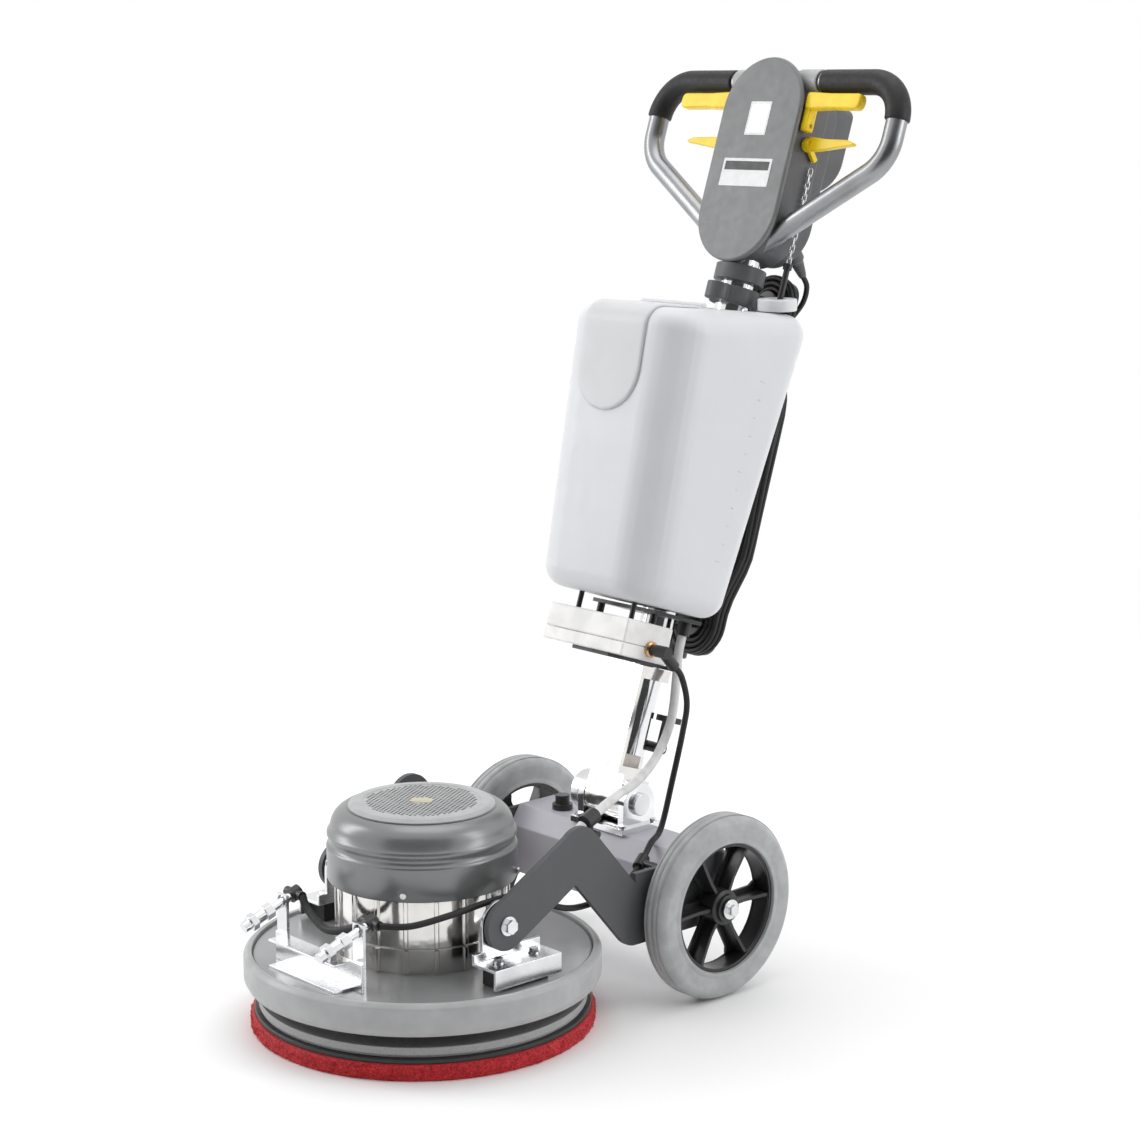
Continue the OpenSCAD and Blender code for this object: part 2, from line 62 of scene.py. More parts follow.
SLOT = {p["node"]: p["material_slot"] for p in RECORD["subparts"]}
BODY = {n: b for b, members in RECORD["behaviour"]["bodies"].items() for n in members}
MM = 0.001
IDENTITY = Matrix.Identity(4)
random.seed(7)


def mast_frame():
    """The mast's frame at rest, from its hinge and from the rod that slides along it."""
    along = Vector(JOINTS["valve_lift"]["axis"]).normalized()
    across = Vector((1, 0, 0))
    back = along.cross(across)
    place = Matrix((across, back, along)).transposed().to_4x4()
    place.translation = JOINTS["mast_lean"]["pos_m"]
    return place


MAST = mast_frame()


def extent(node, place=IDENTITY):
    """Lowest and highest corner of a CAD node, measured in the frame called place."""
    inverse = place.inverted()
    points = [inverse @ v.co for v in NODES[node].data.vertices]
    low = Vector([min(p[i] for p in points) for i in range(3)])
    high = Vector([max(p[i] for p in points) for i in range(3)])
    return low, high


# ---- camera and light ----

VIEW_AZIMUTH = math.radians(47.70)
VIEW_ELEVATION = math.radians(10.71)
VIEW_TARGET = Vector((-0.1513, 0.3853, 0.5))
VIEW_DISTANCE = 3.45
LENS = 80.0
SENSOR = 36.0


def make_camera():
    a, e = VIEW_AZIMUTH, VIEW_ELEVATION
    back = Vector((math.sin(a) * math.cos(e), -math.cos(a) * math.cos(e), math.sin(e)))
    camera = bpy.data.objects.new("camera", bpy.data.cameras.new("camera"))
    bpy.context.scene.collection.objects.link(camera)
    camera.location = VIEW_TARGET + back * VIEW_DISTANCE
    camera.rotation_mode = "QUATERNION"
    camera.rotation_quaternion = (-back).to_track_quat("-Z", "Y")
    camera.data.lens = LENS
    camera.data.sensor_width = SENSOR
    camera.data.clip_end = 200
    bpy.context.scene.camera = camera


def area_light(name, place, target, size, power, tint=(1, 1, 1)):
    data = bpy.data.lights.new(name, "AREA")
    data.shape = "RECTANGLE"
    data.size, data.size_y = size
    data.energy = power
    data.color = tint
    light = bpy.data.objects.new(name, data)
    bpy.context.scene.collection.objects.link(light)
    light.location = place
    light.rotation_euler = (Vector(target) - Vector(place)).to_track_quat("-Z", "Y").to_euler()
    return light


def make_light():
    scene = bpy.context.scene
    scene.view_settings.view_transform = "Standard"
    world = bpy.data.worlds.new("studio")
    world.use_nodes = True
    background = world.node_tree.nodes["Background"]
    background.inputs["Color"].default_value = (1, 1, 1, 1)
    background.inputs["Strength"].default_value = 1.0
    scene.world = world
    middle = (0, 0.3, 0.5)
    area_light("key", (-2.4, -1.4, 1.6), middle, (0.9, 2.2), 26)
    area_light("side", (2.4, 1.6, 1.6), middle, (0.8, 2.0), 15)
    area_light("top", (-0.2, 0.6, 3.4), middle, (2.4, 2.4), 24)
    away = Vector((math.sin(VIEW_AZIMUTH), -math.cos(VIEW_AZIMUTH), 0))
    flag("dark_room", away * 4.8 + Vector((0, 0, 1.6)), (0, 0.3, 0.6), (9.0, 6.0), (0.04,) * 3)


def flag(name, place, target, size, shade):
    """A dark card outside the picture. It is seen in reflections, and takes light away."""
    bm = bmesh.new()
    bmesh.ops.create_grid(bm, x_segments=1, y_segments=1, size=0.5)
    mesh = bpy.data.meshes.new(name)
    bm.to_mesh(mesh)
    bm.free()
    card = bpy.data.objects.new(name, mesh)
    bpy.context.scene.collection.objects.link(card)
    card.location = place
    card.scale = (size[0], size[1], 1)
    turn = (Vector(target) - Vector(place)).to_track_quat("Z", "Y")
    card.rotation_euler = turn.to_euler()
    card.visible_camera = False
    card.visible_diffuse = card.visible_shadow = True
    mat = bpy.data.materials.new(name)
    mat.use_nodes = True
    mat.node_tree.nodes["Principled BSDF"].inputs["Base Color"].default_value = (*shade, 1)
    mat.node_tree.nodes["Principled BSDF"].inputs["Roughness"].default_value = 1
    mesh.materials.append(mat)
    return card


def make_floor():
    """A pale floor that fades out into the white surround."""
    bm = lathe([(0, 0), (1, 0), (3, 0), (9, 0), (30, 0)], 96, closed=False)
    mesh = bpy.data.meshes.new("floor")
    bm.to_mesh(mesh)
    floor = bpy.data.objects.new("floor", mesh)
    bpy.context.scene.collection.objects.link(floor)
    paint = Paint("floor", (0.95, 0.95, 0.95), 0.7)
    clear = paint.node("ShaderNodeBsdfTransparent")
    mix = paint.node("ShaderNodeMixShader")
    far = paint.node("ShaderNodeVectorMath", operation="LENGTH")
    paint.link(paint.coord, far.inputs[0])
    fade = paint.span(far.outputs["Value"], 1.2, 3.2, 0, 1)
    paint.link(fade, mix.inputs[0])
    paint.link(paint.shader.outputs[0], mix.inputs[1])
    paint.link(clear.outputs[0], mix.inputs[2])
    out = next(n for n in paint.tree.nodes if n.type == "OUTPUT_MATERIAL")
    paint.link(mix.outputs[0], out.inputs["Surface"])
    mesh.materials.append(paint.mat)


# ---- materials ----

def linear(*rgb):
    """A colour given as it looks on screen, 0 to 255, as the shader wants it."""
    return tuple(c / 255 / 12.92 if c < 11 else ((c / 255 + 0.055) / 1.055) ** 2.4 for c in rgb)


class Paint:
    """A Principled material and the few kinds of texture that this object needs."""

    def __init__(self, name, colour, rough, metal=0.0, **sockets):
        self.mat = bpy.data.materials.new(name)
        self.mat.use_nodes = True
        self.tree = self.mat.node_tree
        self.shader = self.tree.nodes["Principled BSDF"]
        self.height = None
        self.set("Base Color", (*colour, 1))
        self.set("Roughness", rough)
        self.set("Metallic", metal)
        for socket, value in sockets.items():
            self.set(socket.replace("_", " "), value)
        self.coord = self.node("ShaderNodeTexCoord").outputs["Object"]

    def set(self, socket, value):
        self.shader.inputs[socket].default_value = value

    def node(self, kind, **options):
        made = self.tree.nodes.new(kind)
        for key, value in options.items():
            setattr(made, key, value)
        return made

    def link(self, a, b):
        self.tree.links.new(a, b)

    def stretched(self, stretch):
        if stretch is None:
            return self.coord
        mapping = self.node("ShaderNodeMapping")
        mapping.inputs["Scale"].default_value = stretch
        self.link(self.coord, mapping.inputs["Vector"])
        return mapping.outputs["Vector"]

    def noise(self, size, detail=3.0, rough=0.5, stretch=None):
        tex = self.node("ShaderNodeTexNoise")
        tex.inputs["Scale"].default_value = 1 / size
        tex.inputs["Detail"].default_value = detail
        tex.inputs["Roughness"].default_value = rough
        self.link(self.stretched(stretch), tex.inputs["Vector"])
        return tex.outputs["Fac"]

    def cells(self, size, stretch=None):
        tex = self.node("ShaderNodeTexVoronoi")
        tex.inputs["Scale"].default_value = 1 / size
        self.link(self.stretched(stretch), tex.inputs["Vector"])
        return tex.outputs["Distance"]

    def span(self, value, low, high, to_low, to_high):
        mapped = self.node("ShaderNodeMapRange")
        for socket, number in zip(("From Min", "From Max", "To Min", "To Max"),
                                  (low, high, to_low, to_high)):
            mapped.inputs[socket].default_value = number
        self.link(value, mapped.inputs["Value"])
        return mapped.outputs["Result"]

    def tint(self, value, a, b, low=0.35, high=0.65):
        """Base colour runs from a to b as value goes from low to high."""
        mix = self.node("ShaderNodeMix", data_type="RGBA")
        mix.inputs["A"].default_value = (*a, 1)
        mix.inputs["B"].default_value = (*b, 1)
        self.link(self.span(value, low, high, 0, 1), mix.inputs["Factor"])
        self.link(mix.outputs["Result"], self.shader.inputs["Base Color"])
        return self

    def polish(self, value, a, b, low=0.35, high=0.65):
        """Roughness runs from a to b as value goes from low to high."""
        self.link(self.span(value, low, high, a, b), self.shader.inputs["Roughness"])
        return self

    def bump(self, value, depth):
        bump = self.node("ShaderNodeBump")
        bump.inputs["Distance"].default_value = depth
        bump.inputs["Strength"].default_value = 1.0
        self.link(value, bump.inputs["Height"])
        if self.height is not None:
            self.link(self.height, bump.inputs["Normal"])
        self.height = bump.outputs["Normal"]
        self.link(self.height, self.shader.inputs["Normal"])
        return self


def shade(colour, factor):
    return tuple(min(1.0, c * factor) for c in colour)


def moulded(name, colour, rough, grain=0.0005, depth=0.00004, **sockets):
    """Moulded plastic: an even colour with a fine leathery grain."""
    paint = Paint(name, colour, rough, **sockets)
    paint.tint(paint.noise(0.03), shade(colour, 0.93), shade(colour, 1.07))
    paint.polish(paint.noise(0.012), rough * 0.88, rough * 1.12)
    paint.bump(paint.noise(grain, 2), depth)
    return paint


def coated(name, colour, rough, metallic=0.0):
    """Powder-coated steel: orange peel and a little dust in the colour."""
    paint = Paint(name, colour, rough, metallic)
    paint.tint(paint.noise(0.05), shade(colour, 0.97), shade(colour, 1.03))
    paint.polish(paint.noise(0.02), rough * 0.95, rough * 1.06)
    paint.bump(paint.noise(0.0012, 2), 0.00004)
    return paint


def metal(name, colour, rough, grain=(1, 1, 40), spread=0.3):
    """Bare or plated metal with fine drawing lines along the short side of grain."""
    paint = Paint(name, colour, rough, 1.0)
    lines = paint.noise(0.004, 4, 0.6, grain)
    paint.tint(paint.noise(0.04), shade(colour, 0.9), shade(colour, 1.05))
    paint.polish(lines, rough * (1 - spread), rough * (1 + spread))
    paint.bump(lines, 0.00001)
    return paint


def rubber(name, colour, rough):
    paint = Paint(name, colour, rough, Specular_IOR_Level=0.35)
    paint.tint(paint.noise(0.02), shade(colour, 0.9), shade(colour, 1.1))
    paint.polish(paint.noise(0.006), rough * 0.85, rough * 1.1)
    paint.bump(paint.noise(0.0007, 2), 0.00005)
    return paint


def scrub_fibre(name):
    """Red nylon web of the pad: a coarse relief, with painted shade in its hollows and painted highlight on its
    loops.
    """
    paint = Paint(name, linear(214, 24, 34), 0.6, Sheen_Weight=0.1, Sheen_Roughness=0.5)
    web = paint.noise(0.0022, 4, 0.7)
    # the colour follows the relief: painted shade where the web is low, painted highlight where its loops stand up
    paint.tint(web, linear(132, 6, 14), linear(250, 44, 56), 0.35, 0.65)
    paint.polish(paint.noise(0.001), 0.45, 0.85)
    paint.bump(web, 0.0012)
    paint.bump(paint.cells(0.0012), 0.0005)
    return paint


def speckled(name, colour):
    """Grey moulding with a fine light fleck, as the drive disc has."""
    paint = moulded(name, colour, 0.5)
    fleck = paint.noise(0.0009, 1)
    paint.tint(fleck, shade(colour, 0.82), shade(colour, 1.25), 0.42, 0.66)
    return paint


def tank_plastic(name):
    """Blow-moulded polyethylene: milky, soft to the light, faintly wavy."""
    colour = linear(219, 220, 223)
    paint = Paint(name, colour, 0.42, Subsurface_Weight=0.35, Subsurface_Scale=0.02)
    paint.set("Subsurface Radius", (1.0, 1.0, 1.0))
    paint.tint(paint.noise(0.09), shade(colour, 0.985), shade(colour, 1.01))
    paint.polish(paint.noise(0.02), 0.36, 0.48)
    paint.bump(paint.noise(0.035, 1), 0.0004)
    paint.bump(paint.noise(0.0006, 2), 0.00002)
    return paint


def cast_alu(name):
    """Polished cast aluminium with a slow ripple that breaks up its reflections."""
    paint = metal(name, linear(228, 226, 223), 0.13, (6, 6, 6), 0.4)
    paint.bump(paint.noise(0.03, 2), 0.0006)
    return paint


def make_materials():
    made = {
        "pad_red": scrub_fibre("pad_red"),
        "black_plastic": moulded("black_plastic", linear(40, 40, 41), 0.34),
        "grey_plastic": moulded("grey_plastic", linear(120, 121, 122), 0.38),
        "cowl_paint": coated("cowl_paint", linear(134, 135, 136), 0.3, 0.5),
        "dark_plastic": moulded("dark_plastic", linear(88, 89, 91), 0.42),
        "pale_plastic": moulded("pale_plastic", linear(172, 173, 174), 0.4),
        "speckled": speckled("speckled", linear(165, 166, 167)),
        "painted_grey": coated("painted_grey", linear(158, 159, 160), 0.25, 0.3),
        "painted_dark": coated("painted_dark", linear(82, 83, 85), 0.5),
        "painted_pale": coated("painted_pale", linear(186, 185, 193), 0.4),
        "polished_alu": cast_alu("polished_alu"),
        "alu_tube": metal("alu_tube", linear(158, 159, 161), 0.33, (30, 30, 1)),
        "zinc_steel": metal("zinc_steel", linear(226, 227, 229), 0.24),
        "chrome_steel": metal("chrome_steel", linear(232, 233, 235), 0.1),
        "tyre_grey": rubber("tyre_grey", linear(170, 172, 173), 0.45),
        "rubber_black": rubber("rubber_black", linear(36, 36, 37), 0.5),
        "cable_grey": rubber("cable_grey", linear(214, 214, 214), 0.4),
        "tank_white": tank_plastic("tank_white"),
        "white_plastic": moulded("white_plastic", linear(244, 243, 242), 0.38),
        "yellow_plastic": moulded("yellow_plastic", linear(252, 214, 20), 0.3),
        "brass": metal("brass", linear(196, 160, 112), 0.25),
        "foil": metal("foil", linear(212, 203, 176), 0.3),
        "label": moulded("label", linear(224, 225, 226), 0.3),
        "label_dark": moulded("label_dark", linear(46, 46, 47), 0.35),
    }
    return {name: paint.mat for name, paint in made.items()}


# ---- shapes ----

def turn(steps):
    return [2 * math.pi * i / steps for i in range(steps)]


def arc(centre, radius, start, end, steps=8):
    """Points on a circle, angles in degrees."""
    angles = [math.radians(start + (end - start) * i / steps) for i in range(steps + 1)]
    return [(centre[0] + radius * math.cos(a), centre[1] + radius * math.sin(a)) for a in angles]


def fillet(corners, radius=0.001, steps=5, closed=True):
    """The outline with its corners rounded. A corner may give its own radius as a third number."""
    points = []
    count = len(corners)
    for i, corner in enumerate(corners):
        here = Vector(corner[:2])
        if not closed and i in (0, count - 1):
            points.append(here)
            continue
        r = corner[2] if len(corner) > 2 else radius
        before = (Vector(corners[i - 1][:2]) - here)
        after = (Vector(corners[(i + 1) % count][:2]) - here)
        if r <= 0 or before.length < 1e-9 or after.length < 1e-9:
            points.append(here)
            continue
        a, b = before.normalized(), after.normalized()
        half = a.angle(b) / 2
        if half > math.radians(89):
            points.append(here)
            continue
        cut = min(r / math.tan(half), before.length * 0.49, after.length * 0.49)
        r = cut * math.tan(half)
        middle = here + (a + b).normalized() * (r / math.sin(half))
        start, end = here + a * cut - middle, here + b * cut - middle
        sweep = start.angle_signed(end)
        for k in range(steps + 1):
            points.append(middle + Matrix.Rotation(-sweep * k / steps, 2) @ start)
    return [(p.x, p.y) if isinstance(p, Vector) else p for p in points]


def lathe(outline, steps=128, closed=True):
    """An outline of (radius, height) turned about Z."""
    bm = bmesh.new()
    rings = [[bm.verts.new((r * math.cos(a), r * math.sin(a), z)) for a in turn(steps)]
             for r, z in outline]
    for low, high in zip(rings, rings[1:] + (rings[:1] if closed else [])):
        for i in range(steps):
            j = (i + 1) % steps
            bm.faces.new((low[i], low[j], high[j], high[i]))
    bmesh.ops.remove_doubles(bm, verts=bm.verts, dist=1e-7)
    bmesh.ops.recalc_face_normals(bm, faces=bm.faces)
    return bm


AXES = {"xyz": (0, 1, 2), "xzy": (0, 2, 1), "yzx": (1, 2, 0)}


def prism(outline, low, high, axes="xyz"):
    """An outline pushed from low to high. axes names what its two sides and its depth follow."""
    order = AXES[axes]
    bm = bmesh.new()

    def corner(u, v, depth):
        place = [0.0, 0.0, 0.0]
        for axis, value in zip(order, (u, v, depth)):
            place[axis] = value
        return bm.verts.new(place)

    ends = [[corner(u, v, depth) for u, v in outline] for depth in (low, high)]
    count = len(outline)
    bm.faces.new(ends[0])
    bm.faces.new(ends[1])
    for i in range(count):
        j = (i + 1) % count
        bm.faces.new((ends[0][i], ends[0][j], ends[1][j], ends[1][i]))
    bmesh.ops.recalc_face_normals(bm, faces=bm.faces)
    return bm


def stadium(radius, low, high, x=0.0, steps=24):
    """An upright outline with half-round ends, from low to high."""
    return (arc((x, low + radius), radius, 180, 360, steps)
            + arc((x, high - radius), radius, 0, 180, steps))


def rectangle(x0, x1, y0, y1, radius=0.0, steps=5):
    return fillet([(x0, y0), (x1, y0), (x1, y1), (x0, y1)], radius, steps)


def headings(path):
    last = len(path) - 1
    return [(path[min(i + 1, last)] - path[max(i - 1, 0)]).normalized() for i in range(last + 1)]


def tube(path, radius, sides=20):
    """A round tube with flat ends along a path; radius is a number, or one for each point."""
    bm = bmesh.new()
    radii = radius if hasattr(radius, "__len__") else [radius] * len(path)
    along = headings(path)
    side = along[0].orthogonal().normalized()
    rings = []
    for point, ahead, r in zip(path, along, radii):
        side = (side - ahead * side.dot(ahead)).normalized()
        up = ahead.cross(side)
        rings.append([bm.verts.new(point + side * r * math.cos(a) + up * r * math.sin(a))
                      for a in turn(sides)])
    for low, high in zip(rings, rings[1:]):
        for i in range(sides):
            j = (i + 1) % sides
            bm.faces.new((low[i], low[j], high[j], high[i]))
    bm.faces.new(rings[0])
    bm.faces.new(rings[-1])
    bmesh.ops.recalc_face_normals(bm, faces=bm.faces)
    return bm


def route(points, steps):
    """The smooth line through the route's points that the model's own tubes follow."""
    line = []
    last = len(points) - 1
    for i in range(last):
        a, b = points[max(i - 1, 0)], points[i]
        c, d = points[i + 1], points[min(i + 2, last)]
        for k in range(steps):
            t = k / steps
            line.append(0.5 * (2 * b + (c - a) * t + (2 * a - 5 * b + 4 * c - d) * t * t
                               + (3 * b - a - 3 * c + d) * t ** 3))
    line.append(points[last])
    return line


def millimetres(points):
    return [Vector(p) * MM for p in points]


def join(target, *others):
    """Adds the meshes of others to target."""
    for other in others:
        mesh = bpy.data.meshes.new("part")
        other.to_mesh(mesh)
        target.from_mesh(mesh)
        bpy.data.meshes.remove(mesh)
        other.free()
    return target


def moved(bm, matrix):
    bmesh.ops.transform(bm, matrix=matrix, verts=bm.verts)
    return bm


def facing(direction, place=(0, 0, 0)):
    """A matrix that turns +Z to direction and moves to place."""
    matrix = Vector(direction).to_track_quat("Z", "Y").to_matrix().to_4x4()
    matrix.translation = place
    return matrix


# ---- pieces ----

def make(name, bm, material, place=IDENTITY, bevel=0.0, bevel_steps=3, sharp=40, even=True):
    """A mesh object with rounded edges and smooth shading."""
    moved(bm, place)
    mesh = bpy.data.meshes.new(name)
    bm.to_mesh(mesh)
    bm.free()
    piece = bpy.data.objects.new(name, mesh)
    bpy.context.scene.collection.objects.link(piece)
    mesh.materials.append(MATERIAL[material])
    if bevel:
        rounding = piece.modifiers.new("edges", "BEVEL")
        rounding.width = bevel
        rounding.segments = bevel_steps
        rounding.limit_method = "ANGLE"
        rounding.angle_limit = math.radians(30)
        settle(piece)
    piece.data.shade_smooth()
    piece.data.set_sharp_from_angle(angle=math.radians(sharp))
    if even:
        normals = piece.modifiers.new("normals", "WEIGHTED_NORMAL")
        normals.keep_sharp = True
        settle(piece)
    return piece


def add(name, bm, like, place=IDENTITY, replaces=(), material=None, **shaping):
    """Adds a piece that moves and is finished as a CAD node does."""
    material = material or SLOT[like]
    piece = make(name, bm, material, place, **shaping)
    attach(piece, BODY[like])
    if replaces:
        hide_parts(*replaces)
    return piece


def settle(piece):
    """Makes the piece's modifiers part of its mesh."""
    graph = bpy.context.evaluated_depsgraph_get()
    graph.update()
    final = bpy.data.meshes.new_from_object(piece.evaluated_get(graph))
    old = piece.data
    piece.modifiers.clear()
    piece.data = final
    bpy.data.meshes.remove(old)
    piece.data.name = piece.name


def node_mesh(node):
    """A CAD node's mesh with the flat faces whole again."""
    bm = bmesh.new()
    bm.from_mesh(NODES[node].data)
    bmesh.ops.remove_doubles(bm, verts=bm.verts, dist=2e-6)
    bmesh.ops.dissolve_limit(bm, angle_limit=0.003, verts=bm.verts, edges=bm.edges)
    return bm


def soften(node, width=0.8, steps=3, material=None):
    """The CAD node itself with rounded edges, shown in its stead. The width is in mm."""
    return add(node + "_finished", node_mesh(node), node, replaces=[node], bevel=width * MM,
               bevel_steps=steps, material=material)


# ---- cords and hoses ----

CORD_D = 7.5 * MM
LEAD = [(30, 87.5, 738), (29, 101, 727), (20, 110, 706), (0, 113, 680), (-20, 113, 655),
        (-34, 110, 632), (-38, 107, 606)]
PLUG_LEAD = [(-23, 111, 340), (-30, 114, 312), (-44, 111, 274), (-56, 104, 234.3)]
WATER = [(99, 338.7, 413.9), (99, 352, 399), (98, 363, 362), (93, 360, 320), (90, 346, 262),
         (92, 324, 202), (104, 294, 190), (117.6, 268.9, 179.4)]
WATER_LOW = [(126.4, 249.1, 170.6), (133, 226, 161), (143, 180, 152), (150, 130, 152),
             (151, 97, 158), (145, 66, 172), (137, 30, 184), (134, -10, 184),
             (128, -60, 178), (114, -110, 172), (92, -139.9, 173.5)]
MOTOR = [(42, 409.2, 436), (43, 401.5, 412.5), (50, 391, 380), (64, 368, 332), (80, 326, 294),
         (101, 272, 276), (127, 206, 271), (141.6, 162.2, 262.6)]
MOTOR_LOW = [(146.5, 135.2, 255.2), (149, 120, 242), (150, 108, 212), (142, 99, 178),
             (130, 96.5, 163), (112, 90, 152), (91.2, 76.5, 150)]
SPRAY_LINK = [(-60, -139.9, 173.5), (-44, -143, 160), (0, -148, 148), (44, -143, 160),
              (60, -139.9, 173.5)]

# The order in which the winding fills its places: (layer from the hook, column from the tank).
WINDING = [(2, 2), (1, 2), (1, 1), (2, 1), (2, 0), (1, 0), (0, 0), (0, 1), (0, 2)]


def ease(t):
    t = max(0.0, min(1.0, t))
    return t * t * (3 - 2 * t)


def wound_cord():
    """The winding's centreline in the mast's frame: nine runs down and eight up."""
    low, high = extent("mains_hank", MAST)
    bottom, top = low.z + high.x, high.z - high.x
    bow = 24 * MM
    pitch = 7.7 * MM
    outer = high.x - CORD_D / 2
    front = low.y + CORD_D / 2
    slack_from, slack_over = bottom + 18 * MM, 92 * MM
    line = []

    def place(layer, column, side, s, wave):
        """A point on a straight run; side is -1 on the left and 1 on the right."""
        slack = ease((s - slack_from) / slack_over) * ease((top - 46 * MM - s) / slack_over)
        radius = outer - (2 - layer) * pitch
        sway = 0.9 * MM * math.sin(9 * s / (top - bottom) + wave) * slack
        return Vector((side * radius + sway, front + column * pitch + bow * slack, s))

    for k, (layer, column) in enumerate(WINDING):
        start = extent("mains_lead", MAST)[1].z - 190 * MM if k == 0 else top
        stop = bottom + 150 * MM if k == len(WINDING) - 1 else bottom
        steps = 22
        line += [place(layer, column, -1, start + (stop - start) * i / steps, k)
                 for i in range(steps + 1)]
        if k == len(WINDING) - 1:
            break
        radius = outer - (2 - layer) * pitch
        depth = front + column * pitch
        line += [Vector((radius * math.cos(a), depth, bottom + radius * math.sin(a)))
                 for a in (math.pi + math.pi * i / 16 for i in range(1, 16))]
        after = WINDING[k + 1]
        for i in range(steps + 1):
            share = ease(i / steps)
            line.append(place(layer + (after[0] - layer) * share,
                              column + (after[1] - column) * share, 1,
                              bottom + (top - bottom) * i / steps, k + 3))
        radius = outer - (2 - after[0]) * pitch
        depth = front + after[1] * pitch
        line += [Vector((radius * math.cos(a), depth, top + radius * math.sin(a)))
                 for a in (math.pi * i / 16 for i in range(1, 16))]
    return line


def make_mains_cord():
    wound = wound_cord()
    lead = millimetres(LEAD)
    tail = millimetres(PLUG_LEAD)
    into = route([*lead[-3:], wound[3], wound[6]], 6)
    out = route([wound[-6], wound[-3], tail[0], tail[1], tail[2]], 6)
    line = route(lead, 5)[:-6] + into[6:24] + wound[6:-6] + out[0:18] + route(tail, 6)[6:]
    line = [MAST @ p for p in line]
    curve = bpy.data.curves.new("mains_cord", "CURVE")
    curve.dimensions = "3D"
    curve.bevel_depth = CORD_D / 2
    curve.bevel_resolution = 3
    curve.use_fill_caps = True
    spline = curve.splines.new("POLY")
    spline.points.add(len(line) - 1)
    for point, place in zip(spline.points, line):
        point.co = (*place, 1)
    spline.use_smooth = True
    cord = bpy.data.objects.new("mains_cord", curve)
    bpy.context.scene.collection.objects.link(cord)
    curve.materials.append(MATERIAL["rubber_black"])
    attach(cord, "mast")
    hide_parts("mains_hank", "mains_lead")
    plug = make_plug()


def make_plug():
    """A round two-pin plug with grip rings."""
    low, high = extent("mains_plug", MAST)
    middle = (low + high) / 2
    face = low.z + 19 * MM
    r = (high.x - low.x) / 2
    neck = high.z
    body = [(0, face), (r - 2 * MM, face), (r, face + 2 * MM), (r, face + 7 * MM),
            (r - 2.5 * MM, face + 12 * MM), (r - 6 * MM, face + 19 * MM)]
    for i in range(3):
        z = face + (22 + 4 * i) * MM
        body += [(r - 7.4 * MM, z), (r - 6.8 * MM, z + 1 * MM), (r - 7.6 * MM, z + 2.4 * MM)]
    body += [(5.2 * MM, neck), (0, neck)]
    bm = lathe(fillet(body, 0.6 * MM, 2), 48)
    for x in (-9.5 * MM, 9.5 * MM):
        pin = lathe(fillet([(0, low.z), (2.4 * MM, low.z), (2.4 * MM, face + MM), (0, face + MM)],
                           0.9 * MM, 3), 20)
        join(bm, moved(pin, Matrix.Translation((x, 0, 0))))
    place = MAST @ Matrix.Translation((middle.x, middle.y, 0))
    return add("plug", bm, "mains_plug", place, replaces=["mains_plug"])


def make_hose(node, points, diameter, between=None, sides=18):
    """A hose along the model's route. between names the pair of bodies that it runs between; a hose given one is
    fixed to no body and stays as it lies at rest.
    """
    line = route(millimetres(points), 8)
    bm = tube(line, diameter / 2, sides)
    name = node + "_run"
    hose = make(name, bm, SLOT[node], sharp=60, even=False)
    if between:
        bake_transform(hose)
    else:
        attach(hose, BODY[node])
    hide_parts(node)


def make_hoses():
    make_hose("water_hose", WATER, 8 * MM, ("mast", "chassis"))
    make_hose("water_hose_low", WATER_LOW, 8 * MM, ("chassis", "scrub_head"))
    make_hose("motor_cable", MOTOR, 12 * MM, ("mast", "chassis"))
    make_hose("motor_cable_low", MOTOR_LOW, 12 * MM, ("chassis", "scrub_head"))
    make_hose("spray_link_hose", SPRAY_LINK, 10 * MM)


# ---- pad, deck and motor ----

def make_pad():
    """The red scrubbing pad: a disc of coarse web with a rough, fibrous rim."""
    high = extent("scrub_pad")[1]
    r, thick = high.x, high.z
    rim = arc((r - 4 * MM, 4 * MM), 4 * MM, -90, 0, 4) + arc((r - 4 * MM, thick - 4 * MM),
                                                           4 * MM, 0, 90, 4)
    steps = [rim[4][1] + (rim[5][1] - rim[4][1]) * i / 7 for i in range(1, 7)]
    outline = ([(0, 0), (r * 0.5, 0), (r - 12 * MM, 0)] + rim[:5] + [(r, z) for z in steps]
               + rim[5:] + [(r - 12 * MM, thick), (r * 0.5, thick), (0, thick)])
    bm = lathe(outline, 640, closed=False)
    for v in bm.verts:
        reach = math.hypot(v.co.x, v.co.y)
        if reach > r - 10 * MM and v.co.z > 0.5 * MM:
            out = Vector((v.co.x, v.co.y, 0)).normalized()
            rough = noise.fractal(v.co * 420, 0.9, 2.1, 3)
            v.co += out * (rough * 1.5 - 0.8) * MM
    add("pad_web", bm, "scrub_pad", replaces=["scrub_pad"], even=False)
    make_pad_fibres(r, thick)


PAD_FIBRES = 2600


def make_pad_fibres(r, thick):
    """Loose nylon loops standing out of the pad's rim."""
    bm = bmesh.new()
    for _ in range(PAD_FIBRES):
        a = random.uniform(0, 2 * math.pi)
        z = random.uniform(1.5 * MM, thick - 1.5 * MM)
        reach = random.uniform(1.0, 2.6) * MM
        width = random.uniform(2.0, 6.0) * MM
        lean = random.uniform(-1, 1)
        out = Vector((math.cos(a), math.sin(a), 0))
        side = Vector((-out.y, out.x, 0)) * math.cos(lean) + Vector((0, 0, 1)) * math.sin(lean)
        foot = out * (r - 1.4 * MM) + Vector((0, 0, z))
        points = []
        for i in range(5):
            t = i / 4
            point = foot + side * width * (t - 0.5) + out * reach * math.sin(math.pi * t)
            point.z = min(max(point.z, 0.6 * MM), thick - 0.4 * MM)
            points.append(point)
        join(bm, tube(points, 0.22 * MM, 3))
    add("pad_fibres", bm, "scrub_pad", even=False)


